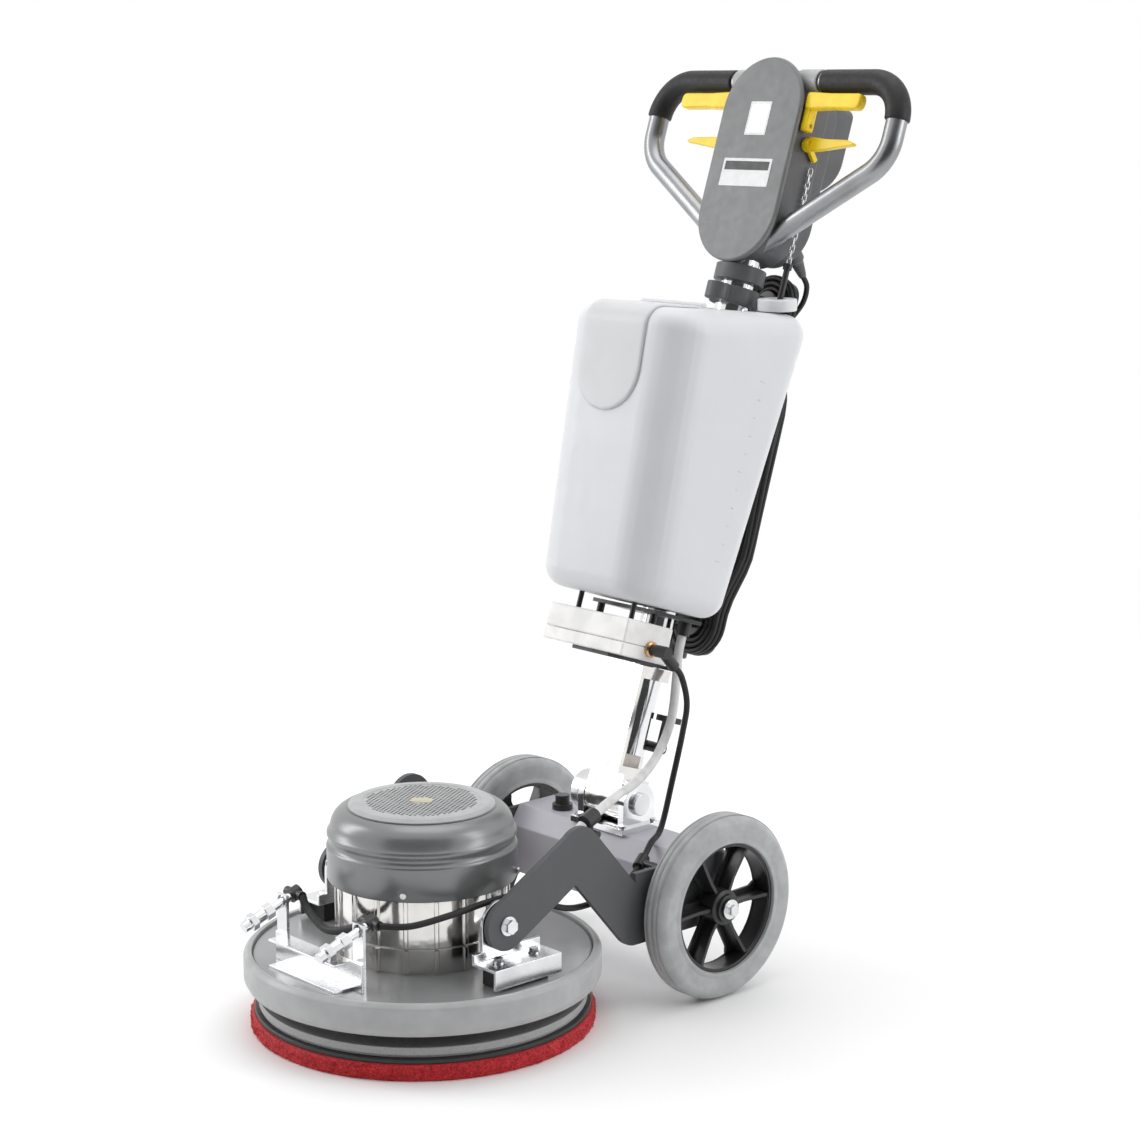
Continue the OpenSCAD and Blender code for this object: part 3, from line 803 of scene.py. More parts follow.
def make_drive():
    low, high = extent("pad_hook_face")
    r = high.x
    outline = fillet([(0, low.z), (r, low.z), (r, high.z), (0, high.z)], 1.2 * MM)
    bm = lathe(outline, 256)
    add("hook_face", bm, "pad_hook_face", replaces=["pad_hook_face"])
    low, high = extent("drive_disc")
    r, z = high.x, low.z
    top = z + 13 * MM
    outline = fillet([(0, z), (r - 1.5 * MM, z), (r - 1.5 * MM, z + 2 * MM), (r, z + 3.5 * MM),
                      (r, top), (r - 9 * MM, top), (r - 10 * MM, top - 2 * MM),
                      (60 * MM, top - 2 * MM), (48 * MM, top), (48 * MM, top + 17 * MM),
                      (12.5 * MM, top + 17 * MM), (12.5 * MM, high.z), (0, high.z)], 1 * MM, 4)
    add("drive_plate", lathe(outline, 256), "drive_disc", replaces=["drive_disc"],
        material="speckled")


def make_deck():
    low, high = extent("deck_shell")
    r, top = high.x, high.z
    inner = 69.5 * MM
    outline = fillet([(inner, top - 5 * MM), (r - 6 * MM, top - 5 * MM), (r - 6 * MM, low.z),
                      (r, low.z), (r, top, 3.5 * MM), (inner, top)], 0.8 * MM, 5)
    add("deck", lathe(outline, 256), "deck_shell", replaces=["deck_shell"])
    low, high = extent("bumper_ring")
    inner, r = 212.2 * MM, high.x
    outline = fillet([(inner, low.z), (r - 4 * MM, low.z, 2 * MM), (r, low.z + 8 * MM, 5 * MM),
                      (r, high.z - 5 * MM, 5 * MM), (r - 5 * MM, high.z, 3 * MM),
                      (inner, high.z, 1.5 * MM)], 1 * MM, 6)
    add("bumper", lathe(outline, 256), "bumper_ring", replaces=["bumper_ring"])


def make_motor():
    low, high = extent("motor_stator")
    base, top = low.z, high.z
    r = 106 * MM
    seam = base + 32 * MM
    outline = fillet([(0, base), (r, base), (r, seam - 1 * MM), (r - 2.5 * MM, seam),
                      (r, seam + 1 * MM), (r, top), (0, top)], 0.5 * MM, 3)
    bm = lathe(outline, 192)
    for i in range(18):
        for z0, z1 in ((base + 1 * MM, seam - 2 * MM), (seam + 2 * MM, top - 2 * MM)):
            rib = prism(rectangle(r - 3 * MM, r + 3 * MM, -3 * MM, 3 * MM, 1.6 * MM), z0, z1)
            join(bm, moved(rib, Matrix.Rotation(math.radians(10 + 20 * i), 4, "Z")))
    gland = lathe(fillet([(0, r - 4 * MM), (10 * MM, r - 4 * MM), (10 * MM, 113 * MM),
                          (8 * MM, 114 * MM), (8 * MM, 119 * MM), (0, 119 * MM)], 0.8 * MM), 32)
    aim = Vector((math.cos(math.radians(40)), math.sin(math.radians(40)), 0))
    join(bm, moved(gland, facing(aim, (0, 0, 150 * MM))))
    add("stator", bm, "motor_stator", replaces=["motor_stator"], bevel=0.4 * MM)

    low, high = extent("motor_cowl")
    r, z, top = high.x, low.z, high.z
    shoulder = 26 * MM
    outer = [(r - 1 * MM, z), (r, z + 2 * MM), (r, z + 37 * MM)]
    outer += arc((r - 4.2 * MM, z + 40 * MM), 4.6 * MM, -10, 60, 6)
    outer += [(r - 3.4 * MM, z + 47 * MM), (r - 3.4 * MM, z + 50 * MM)]
    outer += arc((r - 7.0 * MM, z + 57 * MM), 6.6 * MM, -40, 50, 8)
    outer += arc((r - 4.5 * MM - shoulder, top - shoulder), shoulder, 12, 82, 14)
    outer += [(93 * MM, top), (60 * MM, top)]
    inner = [(60 * MM, top - 4 * MM), (88 * MM, top - 4 * MM), (r - 10 * MM, top - 24 * MM),
             (r - 6 * MM, z + 36 * MM), (r - 5 * MM, z)]
    add("cowl", lathe(outer + inner, 192), "motor_cowl", replaces=["motor_cowl"], sharp=50,
        even=False, material="cowl_paint")
    make_vent_plate()


def make_vent_plate():
    """The cowl's lid: a raised plate with rows of round holes about a small blank badge."""
    high = extent("cowl_vent_plate")[1]
    r, top = high.x, high.z
    field = 69 * MM
    pitch = 6.0 * MM
    hole = 2.2 * MM
    holes = []
    for row in range(-14, 15):
        for column in range(-14, 15):
            x = (column + 0.5 * (row % 2)) * pitch
            y = row * pitch * math.sqrt(3) / 2
            if math.hypot(x, y) < field and math.hypot(x, y) > 13 * MM:
                holes.append((x, y))
    rim = [(field + 4 * MM, a) for a in turn(96)]
    points = [Vector((d * math.cos(a), d * math.sin(a))) for d, a in rim]
    rings = [list(range(len(points)))]
    for x, y in holes:
        start = len(points)
        points += [Vector((x + hole * math.cos(a), y + hole * math.sin(a))) for a in turn(10)]
        rings.append(list(range(start, start + 10)))
    edges = [(ring[i], ring[(i + 1) % len(ring)]) for ring in rings for i in range(len(ring))]
    flat, _, faces, _, _, _ = delaunay_2d_cdt(points, edges, [], 0, 1e-7)
    bm = bmesh.new()
    verts = [bm.verts.new((p.x, p.y, top)) for p in flat]
    near = {}
    for x, y in holes:
        near.setdefault((round(x / 0.01), round(y / 0.01)), []).append(Vector((x, y)))
    for face in faces:
        middle = sum((flat[i] for i in face), Vector((0, 0))) / len(face)
        cell = (round(middle.x / 0.01), round(middle.y / 0.01))
        around = [h for dx in (-1, 0, 1) for dy in (-1, 0, 1)
                  for h in near.get((cell[0] + dx, cell[1] + dy), [])]
        if all((middle - h).length > hole * 0.97 for h in around):
            bm.faces.new([verts[i] for i in face])
    skin = bmesh.ops.extrude_face_region(bm, geom=bm.faces[:])
    down = [v for v in skin["geom"] if isinstance(v, bmesh.types.BMVert)]
    bmesh.ops.translate(bm, verts=down, vec=(0, 0, -1.6 * MM))
    bmesh.ops.recalc_face_normals(bm, faces=bm.faces)
    border = fillet([(field + 3.6 * MM, top - 1.6 * MM), (field + 3.6 * MM, top + 0.5 * MM),
                     (field + 6 * MM, top + 0.9 * MM), (r - 6 * MM, top + 0.2 * MM),
                     (r, top - 3 * MM), (r, top - 4.2 * MM)], 1.2 * MM, 4)
    join(bm, lathe(border, 160))
    add("vent_plate", bm, "cowl_vent_plate", replaces=["cowl_vent_plate"], sharp=35, even=False)
    badge = prism(rectangle(-14 * MM, 14 * MM, -9 * MM, 9 * MM, 3 * MM), top - 0.5 * MM,
                  top + 0.5 * MM)
    moved(badge, Matrix.Rotation(math.radians(35), 4, "Z"))
    add("vent_badge", badge, "cowl_vent_plate", material="foil", bevel=0.2 * MM)


def make_deck_fittings():
    soften("gear_flange", 1.0)
    soften("cowl_screws", 0.8)
    soften("deck_brackets", 1.2, 4)
    soften("bracket_bolts", 0.5)
    soften("bracket_blocks", 2.0)
    soften("spray_posts", 0.6)
    soften("spray_bridge", 0.6)
    soften("spray_nozzles", 0.7)
    soften("spray_elbows", 1.5)


# ---- chassis and wheels ----

def make_chassis():
    soften("side_arms", 1.2, 4)
    soften("axle_housing", 1.5)
    soften("axle_rod", 1.0)
    soften("axle_bolts", 0.7)
    soften("deck_pivot_bolts", 0.7)
    soften("hinge_yoke", 1.2)
    soften("hinge_pin", 1.5)
    soften("chassis_clips", 1.2)


def make_wheel(side):
    """side is right or left. The wheel is turned about X, open face outwards."""
    low, high = extent("tyre_" + side)
    middle = (low + high) / 2
    r = (high.z - low.z) / 2
    half = (high.x - low.x) / 2
    rim = 84 * MM
    out = 1 if side == "right" else -1
    place = facing((out, 0, 0), middle)
    tread = []
    for x in (-9 * MM, 0, 9 * MM):
        tread += [(r - 0.3 * MM, x - 1.6 * MM), (r - 2 * MM, x), (r - 0.3 * MM, x + 1.6 * MM)]
    wall = [(rim, -half + 3 * MM), (rim + 1 * MM, -half + 1.2 * MM),
            (rim + 5 * MM, -half + 1 * MM), (rim + 6.5 * MM, -half + 2 * MM), (rim + 9 * MM, -half + 1.6 * MM)]
    shoulder = arc((r - 15 * MM, half - 14 * MM), 14.6 * MM, -76, -12, 9)
    lower = [(x, y - 2 * (half - 14 * MM)) for x, y in shoulder]
    outline = wall + lower + tread + [(x, -y) for x, y in reversed(lower)] + [
        (x, -y) for x, y in reversed(wall)]
    add("tyre_" + side + "_rubber", lathe(outline, 192), "tyre_" + side, place,
        replaces=["tyre_" + side], sharp=50, even=False)
    make_rim(side, place, rim, half)


def make_rim(side, place, rim, half):
    """Six T-section spokes between a flanged hub and a ring with rolled lips."""
    width = half - 5 * MM
    ring = fillet([(rim - 5 * MM, -width), (rim + 1.2 * MM, -width),
                   (rim - 0.2 * MM, -width + 4 * MM),
                   (rim - 0.2 * MM, width - 4 * MM), (rim + 1.2 * MM, width),
                   (rim - 5 * MM, width), (rim - 4 * MM, width - 4 * MM),
                   (rim - 4 * MM, -width + 4 * MM)], 0.9 * MM, 3)
    bm = lathe(ring, 160)
    hub = fillet([(10.1 * MM, -19 * MM), (17 * MM, -19 * MM), (23 * MM, -10 * MM, 3 * MM),
                  (23 * MM, 13 * MM), (18.5 * MM, 15 * MM), (18 * MM, 20 * MM),
                  (10.1 * MM, 20 * MM)], 1.0 * MM, 3)
    join(bm, lathe(hub, 72))
    reach = rim - 3 * MM
    for i in range(6):
        flange = prism(fillet([(12 * MM, -9 * MM), (26 * MM, -7.5 * MM), (reach - 12 * MM, -9 * MM),
                               (reach, -17 * MM), (reach, 17 * MM), (reach - 12 * MM, 9 * MM),
                               (26 * MM, 7.5 * MM), (12 * MM, 9 * MM)], 8 * MM, 4),
                       -14 * MM, -10 * MM)
        web = prism([(-11 * MM, 12 * MM), (-11 * MM, reach), (13 * MM, reach),
                     (11 * MM, reach - 9 * MM),
                     (8.5 * MM, 40 * MM), (11 * MM, 12 * MM)], -2.3 * MM, 2.3 * MM)
        moved(web, Matrix(((0, 1, 0, 0), (0, 0, 1, 0), (1, 0, 0, 0), (0, 0, 0, 1))))
        spoke = join(flange, web)
        join(bm, moved(spoke, Matrix.Rotation(math.radians(60 * i), 4, "Z")))
    add("rim_" + side + "_moulding", bm, "rim_" + side, place, replaces=["rim_" + side],
        bevel=0.7 * MM, sharp=50)


# ---- mast and tank ----

TANK_ROUND = 28 * MM
TANK_TURN = 28
TANK_CORNERS = [(78, -127, 283), (76, -8, 283), (84, -166, 600), (81, 20, 642), (62, 0, 340)]
TANK_CHANNEL = ((-31, -31, 200), (31, 120, 720))
FLAP_MIDDLE = -8 * MM
FLAP_HALF = 58.5 * MM
FLAP_TIP = 484


def hull_of(points):
    bm = bmesh.new()
    for p in points:
        bm.verts.new(p)
    made = bmesh.ops.convex_hull(bm, input=bm.verts)
    spare = {v for v in made["geom_interior"] + made["geom_unused"]
             if isinstance(v, bmesh.types.BMVert)}
    bmesh.ops.delete(bm, geom=list(spare), context="VERTS")
    return bm


def tank_corners():
    """The corners of the tank's inner core. The two front edges turn through an arc."""
    corners = []
    for x, y, s in TANK_CORNERS:
        spots = [(x, y)]
        if y < -100:
            spots = arc((x - TANK_TURN, y + TANK_TURN), TANK_TURN, -90, 0, 7)
        corners += [Vector((u * side, v, s)) * MM for u, v in spots for side in (-1, 1)]
    return corners


def ball_points(middle, radius, steps=48):
    points = [middle + Vector((0, 0, radius)), middle - Vector((0, 0, radius))]
    for j in range(1, steps // 2):
        tilt = math.pi * j / (steps // 2)
        ring = radius * math.sin(tilt)
        points += [middle + Vector((ring * math.cos(a), ring * math.sin(a),
                                    radius * math.cos(tilt))) for a in turn(steps)]
    return points


class TankSkin:
    """The tank's surface: every point at the rounding's distance from its inner core."""

    def __init__(self):
        core = hull_of(tank_corners())
        bmesh.ops.triangulate(core, faces=core.faces)
        self.core = BVHTree.FromBMesh(core)
        core.free()

    def at(self, point, lift=0.0):
        near = self.core.find_nearest(point)[0]
        return near + (point - near).normalized() * (TANK_ROUND + lift)


def cut(piece, tool):
    """Takes one mesh object out of another."""
    knife = piece.modifiers.new("cut", "BOOLEAN")
    knife.operation = "DIFFERENCE"
    knife.solver = "EXACT"
    knife.object = tool
    settle(piece)
    bpy.data.objects.remove(tool)


def block(low, high):
    return prism([(low[0], low[1]), (high[0], low[1]), (high[0], high[1]), (low[0], high[1])],
                 low[2], high[2])


def plain(name, bm):
    mesh = bpy.data.meshes.new(name)
    bm.to_mesh(mesh)
    bm.free()
    made = bpy.data.objects.new(name, mesh)
    bpy.context.scene.collection.objects.link(made)
    return made


def make_tank():
    points = [p for c in tank_corners() for p in ball_points(c, TANK_ROUND)]
    bm = hull_of(points)
    bmesh.ops.dissolve_limit(bm, angle_limit=0.002, verts=bm.verts, edges=bm.edges)
    shell = plain("tank_shell", bm)
    cut(shell, plain("knife", block(*(Vector(c) * MM for c in TANK_CHANNEL))))
    hole = lathe([(0, 596 * MM), (22 * MM, 596 * MM), (22 * MM, 660 * MM), (0, 660 * MM)], 48)
    cut(shell, plain("knife", moved(hole, Matrix.Translation((-50 * MM, -130 * MM, 0)))))
    bm = bmesh.new()
    bm.from_mesh(shell.data)
    bpy.data.objects.remove(shell)
    add("tank_shell", bm, "water_tank", MAST, replaces=["water_tank"], bevel=2.5 * MM, sharp=50)
    skin = TankSkin()
    make_flap(skin)
    make_level_marks(skin)
    soften("tank_neck", 2.0, 4)


def make_flap(skin):
    """The filler flap: a tongue over the tank's front edge, raised with a rounded border."""
    low, high = extent("tank_lid", MAST)
    hinge_y, hinge_s = high.y - 3.5 * MM, high.z - 3.5 * MM
    fold = fillet([(-184 * MM, FLAP_TIP * MM), (-202 * MM, 638 * MM),
                   (hinge_y, hinge_s + 3 * MM)], 30 * MM, 16, closed=False)
    fold = [Vector(p) for p in fold]
    lengths = [0.0]
    for a, b in zip(fold, fold[1:]):
        lengths.append(lengths[-1] + (b - a).length)
    total = lengths[-1]

    def along(distance):
        for i in range(1, len(fold)):
            if distance <= lengths[i]:
                t = (distance - lengths[i - 1]) / (lengths[i] - lengths[i - 1])
                return fold[i - 1].lerp(fold[i], t)
        return fold[-1]

    outline = arc((0, FLAP_HALF), FLAP_HALF, 180, 360, 36)
    side = [FLAP_HALF + (total - FLAP_HALF) * i / 40 for i in range(1, 41)]
    outline = (outline + [(FLAP_HALF, d) for d in side]
               + [(FLAP_HALF - 2 * FLAP_HALF * i / 16, total) for i in range(1, 16)]
               + [(-FLAP_HALF, d) for d in reversed(side)])

    def border(u, d):
        """How far a point of the tongue is from its edge, except the hinge."""
        if d < FLAP_HALF:
            return FLAP_HALF - math.hypot(u, d - FLAP_HALF)
        return FLAP_HALF - abs(u)

    points = [Vector(p) for p in outline]
    edge = len(points)
    step = 2.2 * MM
    for ring in (0.7 * MM, 1.6 * MM, 3.0 * MM, 4.6 * MM):
        inside = FLAP_HALF - ring
        points += [Vector(p) for p in arc((0, FLAP_HALF), inside, 180, 360, 32)]
        points += [Vector((s * inside, d)) for d in side[:-1] for s in (-1, 1)]
    rows = int(total / step)
    for i in range(1, rows):
        for j in range(-26, 27):
            u, d = j * step + (i % 2) * step / 2, i * step
            if border(u, d) > 6 * MM and d < total - 1.5 * MM:
                points.append(Vector((u, d)))
    edges = [(i, (i + 1) % edge) for i in range(edge)]
    flat, _, faces, _, _, _ = delaunay_2d_cdt(points, edges, [], 1, 1e-7)
    bm = bmesh.new()
    layers = []
    for top in (True, False):
        verts = []
        for p in flat:
            place = along(p.y)
            rough = Vector((FLAP_MIDDLE + p.x, place.x, place.y))
            rise = min(1.0, max(0.0, border(p.x, p.y)) / (4.5 * MM))
            lift = 0.6 + 2.9 * math.sqrt(1 - (1 - rise) ** 2) if top else 0.5
            verts.append(bm.verts.new(skin.at(rough, lift * MM)))
        layers.append(verts)
    for face in faces:
        bm.faces.new([layers[0][i] for i in face])
        bm.faces.new([layers[1][i] for i in reversed(face)])
    open_edges = [e for e in bm.edges if e.is_boundary]
    bmesh.ops.bridge_loops(bm, edges=open_edges)
    barrel = tube([Vector((low.x + 1 * MM, hinge_y, hinge_s)),
                   Vector((high.x - 1 * MM, hinge_y, hinge_s))], 3.4 * MM, 20)
    join(bm, barrel)
    bmesh.ops.recalc_face_normals(bm, faces=bm.faces)
    add("tank_flap", bm, "tank_lid", MAST, replaces=["tank_lid"], sharp=50, even=False)


def make_level_marks(skin):
    """A plain raised scale beside the tank's rear edge, moulded in the same plastic."""
    bm = bmesh.new()
    for i in range(11):
        s = (330 + 24 * i) * MM
        long = 9 * MM if i % 5 == 0 else 5 * MM
        a = skin.at(Vector((120 * MM, -20 * MM, s)), -0.2 * MM)
        b = skin.at(Vector((120 * MM, -20 * MM - long, s)), -0.2 * MM)
        join(bm, tube([a, b], 0.7 * MM, 8))
    add("tank_level_marks", bm, "water_tank", MAST, even=False)


def make_mast():
    soften("mast_foot", 2.0, 4)
    low, high = extent("mast_tube", MAST)
    r = high.x
    outline = fillet([(r - 3 * MM, low.z), (r, low.z), (r, high.z), (r - 3 * MM, high.z)],
                     0.5 * MM)
    add("mast_pipe", lathe(outline, 96), "mast_tube", MAST, replaces=["mast_tube"])
    soften("mast_lock_pedal", 1.5)
    soften("pump_case", 3.0, 4)
    soften("pump_lid", 2.5, 4)
    soften("pump_elbow", 1.0)
    soften("tank_bracket", 1.0)
    soften("mast_clamp", 1.5)
    soften("head_neck", 1.5)
    add_brass_ring()


def add_brass_ring():
    """The brass collar where the hose elbow meets the pump case."""
    low = extent("pump_elbow", MAST)[0]
    middle = Vector((low.x, (extent("pump_case", MAST)[0].y + 50 * MM), 200 * MM))
    ring = lathe(fillet([(7 * MM, 0), (10.5 * MM, 0), (10.5 * MM, 3.5 * MM), (8 * MM, 5 * MM),
                         (7 * MM, 5 * MM)], 0.5 * MM), 40)
    place = MAST @ facing((1, 0, 0), middle)
    add("brass_collar", ring, "pump_elbow", place, material="brass")


# ---- handle head ----

def plate(radius, low, high, y0, y1):
    return prism(stadium(radius, low, high), y0, y1, "xzy")


def make_head():
    low, high = extent("head_cover", MAST)
    face = low.y + 0.6 * MM
    add("head_cover_plate", plate(high.x, low.z, high.z, face, high.y), "head_cover", MAST,
        replaces=["head_cover"], bevel=3.6 * MM, bevel_steps=6, sharp=50)
    labels = {"cover_label_upper": (19, 896, 942, "label"),
              "cover_label_lower": (44, 826, 864, "label")}
    for name, (half, s0, s1, material) in labels.items():
        outline = rectangle(-half * MM, half * MM, s0 * MM, s1 * MM, 1.5 * MM)
        bm = prism(outline, face - 0.5 * MM, face + 1 * MM, "xzy")
        add(name, bm, "head_cover", MAST, material=material, bevel=0.2 * MM)
    inset = [(-15, 15, 900, 938), (-40, 40, 848, 860)]
    for i, (x0, x1, s0, s1) in enumerate(inset):
        outline = rectangle(x0 * MM, x1 * MM, s0 * MM, s1 * MM, 1 * MM)
        bm = prism(outline, face - 0.56 * MM, face + 1 * MM, "xzy")
        add("cover_panel_%d" % i, bm, "head_cover", MAST, material="label_dark" if i else "foil")

    low, high = extent("head_housing", MAST)
    step = 30 * MM
    bm = plate(high.x, low.z, high.z, low.y, step)
    join(bm, plate(high.x - 9 * MM, low.z + 9 * MM, high.z - 9 * MM, step - 2 * MM, high.y))
    add("head_body", bm, "head_housing", MAST, replaces=["head_housing"], bevel=5 * MM,
        bevel_steps=5, sharp=50)
    make_switch_box(high.y)


def make_switch_box(root):
    high = extent("switch_box", MAST)[1]
    half = 45 * MM
    centre = 900 * MM
    top = high.z
    outline = fillet([(half, centre), (half, top, 12 * MM), (-half, top, 12 * MM),
                      (-half, centre)], 0, 6, closed=False)
    outline = outline + arc((0, centre), half, 180, 360, 24)[1:-1]
    bm = prism(outline, root - 1 * MM, 100 * MM, "xzy")
    add("switch_case", bm, "switch_box", MAST, replaces=["switch_box"], bevel=6 * MM,
        bevel_steps=5, sharp=50)
    lid = [(x * 0.86, (s - 930 * MM) * 0.86 + 930 * MM) for x, s in outline]
    add("switch_lid", prism(lid, 98 * MM, 101 * MM, "xzy"), "switch_box", MAST, bevel=1 * MM)
    for x, s in ((-28, 956), (28, 956), (0, 872)):
        screw = lathe(fillet([(0, 0), (4 * MM, 0), (4 * MM, 1.6 * MM), (1.8 * MM, 1.6 * MM),
                              (1.8 * MM, 0.4 * MM), (0, 0.4 * MM)], 0.3 * MM), 24)
        place = MAST @ facing((0, 1, 0), (x * MM, 100.8 * MM, s * MM))
        add("switch_screw_%d_%d" % (x + 28, s), screw, "switch_box", place,
            material="zinc_steel")
    make_gland()


def make_gland():
    """The tapered, ribbed strain relief that the mains lead leaves by."""
    aim = Vector((0, math.sin(math.radians(50)), -math.cos(math.radians(50))))
    root = Vector((30, 66, 756)) * MM
    outline = [(0, -9 * MM), (11.5 * MM, -9 * MM), (11.5 * MM, 1 * MM), (9.5 * MM, 3 * MM)]
    for i in range(5):
        z = (5 + 4.4 * i) * MM
        r = (9.0 - 0.75 * i) * MM
        outline += [(r, z), (r - 0.2 * MM, z + 2.6 * MM), (r - 1.4 * MM, z + 3.0 * MM),
                    (r - 1.4 * MM, z + 4.0 * MM)]
    outline += [(5.2 * MM, 28 * MM), (0, 28 * MM)]
    bm = lathe(fillet(outline, 0.3 * MM, 2), 40)
    add("lead_gland", bm, "switch_box", MAST @ facing(aim, root))


def loop_corners():
    high = extent("handle_loop", MAST)[1]
    r = 14 * MM
    x = high.x - r
    s = high.z - r
    return [(8 * MM, s, 0), (x, s, 60 * MM), (x, 872 * MM, 55 * MM), (28 * MM, 752 * MM, 0)], r


def tube_in_mast(corners, side, y, steps=18):
    flat = fillet(corners, 0, steps, closed=False)
    line = []
    for a, b in zip(flat, flat[1:]):
        a, b = Vector(a), Vector(b)
        count = max(1, int((b - a).length / (12 * MM)))
        line += [a.lerp(b, i / count) for i in range(count)]
    line.append(Vector(flat[-1]))
    return [Vector((side * p.x, y, p.y)) for p in line]


def make_loop():
    """The handle: one bent tube a side, foam grips over its top, and pale collars."""
    corners, r = loop_corners()
    y = extent("handle_loop", MAST)[0].y + r
    for side, name in ((1, "right"), (-1, "left")):
        line = tube_in_mast(corners, side, y)
        add("loop_" + name, tube(line, r, 36), "handle_loop", MAST, even=False, sharp=60,
            replaces=["handle_loop"])
        line = [p for p in line if abs(p.x) >= 76 * MM and p.z >= 921 * MM]
        run = [0.0]
        for a, b in zip(line, line[1:]):
            run.append(run[-1] + (b - a).length)
        dense, thick = [], []
        for i, (p, q) in enumerate(zip(line, line[1:])):
            count = 8 if i in (0, len(line) - 2) else 1
            for k in range(count):
                t = k / count
                d = run[i] + (run[i + 1] - run[i]) * t
                end = min(d, run[-1] - d)
                dense.append(p.lerp(q, t))
                thick.append(r + 0.1 * MM + 2.6 * MM
                             * math.sqrt(1 - (1 - min(1.0, end / (3 * MM))) ** 2))
        dense.append(line[-1])
        thick.append(r + 0.1 * MM)
        add("grip_" + name, tube(dense, thick, 36), "handle_grips", MAST, even=False, sharp=60,
            replaces=["handle_grips"])
        collar = lathe(fillet([(r, 39 * MM), (17 * MM, 39 * MM), (17 * MM, 75.5 * MM),
                               (r, 75.5 * MM)], 1.5 * MM), 48)
        place = MAST @ facing((side, 0, 0), (0, y, corners[0][1]))
        add("collar_" + name, collar, "grip_collars", place, replaces=["grip_collars"])


def make_levers():
    """Start levers: two chunky paddles on one shaft. Dosing levers: two thin blades."""
    shaft_y, shaft_s = -15 * MM, 915 * MM
    bm = tube([Vector((-78 * MM, shaft_y, shaft_s)), Vector((78 * MM, shaft_y, shaft_s))],
              6 * MM, 32)
    for side in (-1, 1):
        arm = prism(rectangle(67 * MM, 78 * MM, 907 * MM, 950 * MM, 3 * MM), -24 * MM, -8 * MM,
                    "xzy")
        paddle = prism(fillet([(68, 935, 5), (110, 937, 30), (160, 936, 9), (163, 946, 9),
                               (161, 957, 9), (110, 957, 30), (68, 959, 5)], 0, 6),
                       -26, -12, "xzy")
        bmesh.ops.scale(paddle, vec=(MM, MM, MM), verts=paddle.verts)
        both = join(arm, paddle)
        if side < 0:
            bmesh.ops.scale(both, vec=(-1, 1, 1), verts=both.verts)
            bmesh.ops.reverse_faces(both, faces=both.faces)
        join(bm, both)
    add("start_levers_moulding", bm, "switch_levers", MAST, replaces=["switch_levers"],
        bevel=3.5 * MM, bevel_steps=5, sharp=50)

    shaft_y, shaft_s = -4 * MM, 893 * MM
    bm = tube([Vector((-74 * MM, shaft_y, shaft_s)), Vector((74 * MM, shaft_y, shaft_s))],
              6 * MM, 32)
    for side in (-1, 1):
        blade = prism(fillet([(68, 884, 3), (92, 885, 8), (128, 890, 20), (150, 893, 1.5),
                              (152, 896, 1.5), (140, 900, 3), (100, 901, 20), (68, 904, 3)],
                             0, 5), -8, 0, "xzy")
        bmesh.ops.scale(blade, vec=(MM, MM, MM), verts=blade.verts)
        if side < 0:
            bmesh.ops.scale(blade, vec=(-1, 1, 1), verts=blade.verts)
            bmesh.ops.reverse_faces(blade, faces=blade.faces)
        join(bm, blade)
        hub = lathe(fillet([(0, 66 * MM), (9 * MM, 66 * MM), (9 * MM, 77 * MM), (0, 77 * MM)],
                           1.5 * MM), 40)
        join(bm, moved(hub, facing((side, 0, 0), (0, shaft_y, shaft_s))))
    crank = block((67 * MM, -4 * MM, 0), (73 * MM, 4 * MM, 26 * MM))
    turned = Matrix.Rotation(math.radians(-130), 4, "X")
    join(bm, moved(crank, Matrix.Translation((0, shaft_y, shaft_s)) @ turned))
    add("dosing_levers_moulding", bm, "water_levers", MAST, replaces=["water_levers"],
        bevel=1.6 * MM, bevel_steps=4, sharp=50)


def make_valve():
    """The valve's rod and the chain that the dosing lever pulls it by."""
    low, high = extent("valve_rod", MAST)
    x, y = (low.x + high.x) / 2, (low.y + high.y) / 2
    foot = low.z
    eye = foot + 88 * MM
    rod = lathe(fillet([(0, foot), (4 * MM, foot), (4 * MM, eye), (6 * MM, eye),
                        (6 * MM, eye + 8 * MM), (0, eye + 8 * MM)], 0.8 * MM), 32)
    bm = moved(rod, Matrix.Translation((x, y, 0)))
    add("valve_stem", bm, "valve_rod", MAST, replaces=["valve_rod"])
    chain = bmesh.new()
    start, wire, half_width = eye + 7 * MM, 0.95 * MM, 2.6 * MM
    pitch = 8.4 * MM
    count = int((high.z - start) / pitch)
    pitch = (high.z - start - 2 * wire) / count
    for i in range(count):
        low_s = start + pitch * i - wire
        high_s = low_s + pitch + 3.4 * wire
        ring = stadium(half_width, low_s, high_s, 0, 8)
        path = [Vector((u, 0, v)) for u, v in ring]
        link = ring_tube(path, wire, 8)
        turned = Matrix.Rotation(math.radians(35 + 90 * (i % 2)), 4, "Z")
        join(chain, moved(link, Matrix.Translation((x, y, 0)) @ turned))
    add("valve_chain", chain, "valve_rod", MAST, material="zinc_steel", even=False, sharp=80)


def ring_tube(path, radius, sides):
    """A closed wire ring along a flat path."""
    bm = bmesh.new()
    count = len(path)
    normal = Vector((0, 1, 0))
    rings = []
    for i in range(count):
        ahead = (path[(i + 1) % count] - path[i - 1]).normalized()
        out = ahead.cross(normal)
        rings.append([bm.verts.new(path[i] + out * radius * math.cos(a)
                                   + normal * radius * math.sin(a)) for a in turn(sides)])
    for i in range(count):
        low, high = rings[i], rings[(i + 1) % count]
        for k in range(sides):
            n = (k + 1) % sides
            bm.faces.new((low[k], low[n], high[n], high[k]))
    bmesh.ops.recalc_face_normals(bm, faces=bm.faces)
    return bm


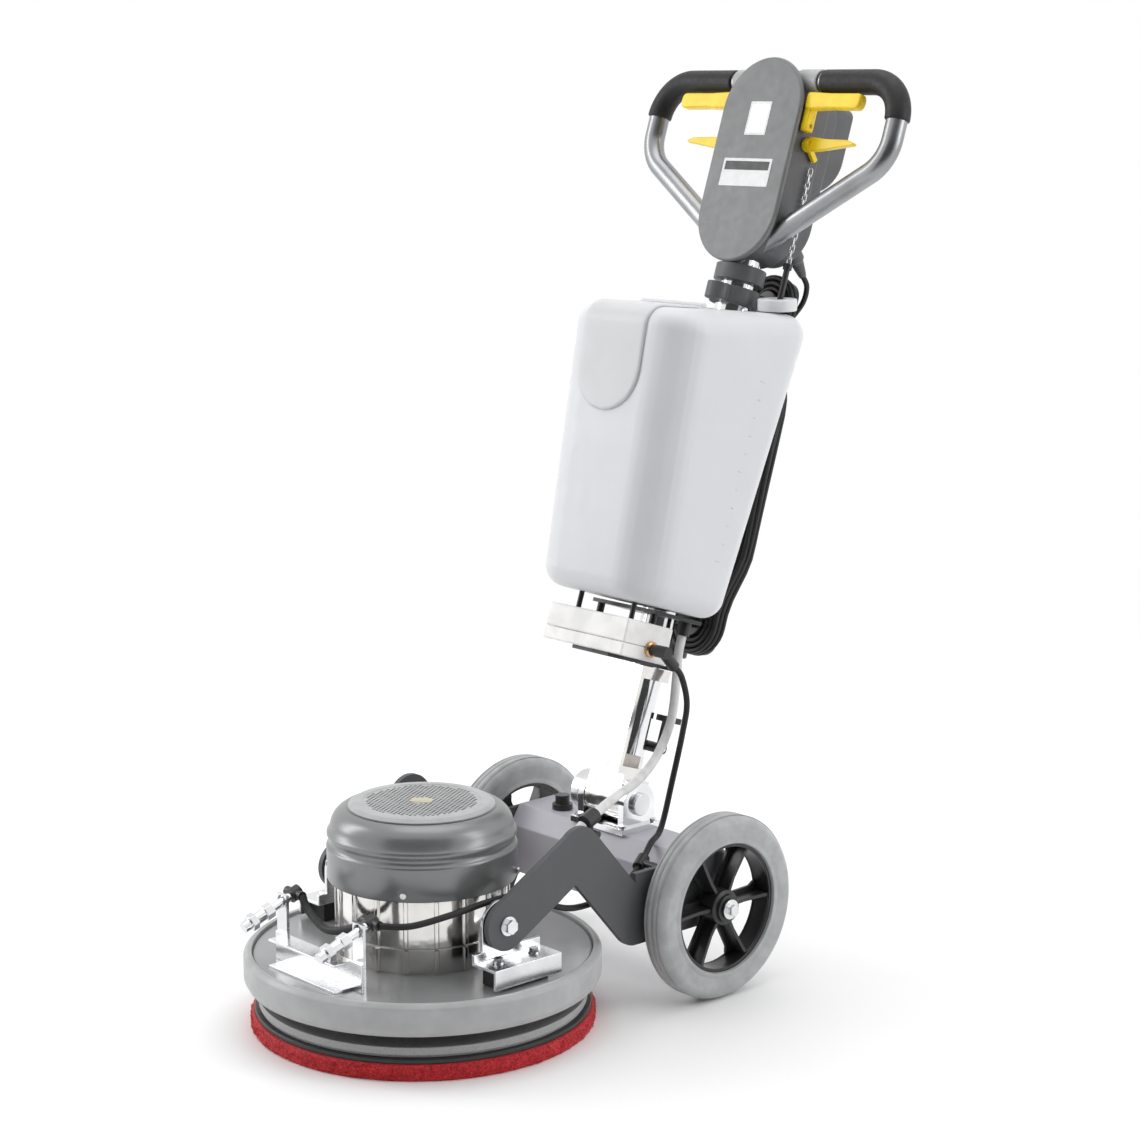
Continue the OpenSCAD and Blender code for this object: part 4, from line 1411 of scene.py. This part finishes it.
def make_hook(node, up):
    """A cord hook: a bracket, a round core and a D-shaped flange with ribs on its face."""
    low, high = extent(node, MAST)
    s = low.z + 19 * MM if up else high.z - 19 * MM
    way = 1 if up else -1
    back = high.y
    bm = prism(rectangle(-10 * MM, 10 * MM, s - 7 * MM, s + 7 * MM, 2 * MM), low.y, back - 36 * MM,
               "xzy")
    core = lathe(fillet([(0, back - 39 * MM), (19 * MM, back - 39 * MM), (19 * MM, back - 9 * MM),
                         (0, back - 9 * MM)], 1 * MM), 48)
    join(bm, moved(core, facing((0, 1, 0), (0, 0, s))))
    half = 22 * MM
    outline = [(half, s - way * 18 * MM), (half, s + way * 18 * MM)]
    bow = arc((0, s + way * 18 * MM), half, 0, way * 180, 20)
    outline = outline[:1] + bow + [(-half, s - way * 18 * MM)]
    join(bm, prism(outline, back - 10 * MM, back - 4 * MM, "xzy"))
    inner = [(x * 0.86, s + (v - s) * 0.88) for x, v in outline]
    join(bm, hollow_prism(outline, inner, back - 4 * MM, back, "xzy"))
    for x in (-10, 0, 10):
        reach = 36 * MM if x == 0 else 32 * MM
        join(bm, prism(sorted_box(x * MM - 1 * MM, x * MM + 1 * MM, s - way * 15 * MM,
                                  s + way * reach), back - 4 * MM, back - 0.8 * MM, "xzy"))
    for v in (0, 16):
        join(bm, prism(sorted_box(-20 * MM, 20 * MM, s + way * v * MM - 1 * MM,
                                  s + way * v * MM + 1 * MM), back - 4 * MM, back - 0.8 * MM,
                       "xzy"))
    add(node + "_moulding", bm, node, MAST, replaces=[node], bevel=0.7 * MM, sharp=50)


def sorted_box(x0, x1, y0, y1):
    y0, y1 = min(y0, y1), max(y0, y1)
    return [(x0, y0), (x1, y0), (x1, y1), (x0, y1)]


def hollow_prism(outer, inner, low, high, axes):
    """A frame between two outlines with the same number of points."""
    order = AXES[axes]
    bm = bmesh.new()

    def corner(u, v, depth):
        place = [0.0, 0.0, 0.0]
        for axis, value in zip(order, (u, v, depth)):
            place[axis] = value
        return bm.verts.new(place)

    loops = [[corner(u, v, d) for u, v in line]
             for line, d in ((outer, low), (outer, high), (inner, high), (inner, low))]
    count = len(outer)
    for a, b in zip(loops, loops[1:] + loops[:1]):
        for i in range(count):
            j = (i + 1) % count
            bm.faces.new((a[i], a[j], b[j], b[i]))
    bmesh.ops.recalc_face_normals(bm, faces=bm.faces)
    return bm


# ---- the scene ----

def cover_the_rest():
    """CAD nodes that still show take the material of their slot."""
    for name, node in NODES.items():
        if not node.hide_render:
            node.data.materials.clear()
            node.data.materials.append(MATERIAL[SLOT[name]])


make_camera()
MATERIAL = make_materials()
make_mains_cord()
make_hoses()
make_pad()
make_drive()
make_deck()
make_motor()
make_deck_fittings()
make_chassis()
for wheel in ("right", "left"):
    make_wheel(wheel)
make_mast()
make_tank()
make_head()
make_loop()
make_levers()
make_valve()
make_hook("hook_lower", False)
make_hook("hook_upper", True)
cover_the_rest()
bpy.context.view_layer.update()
make_floor()
make_light()
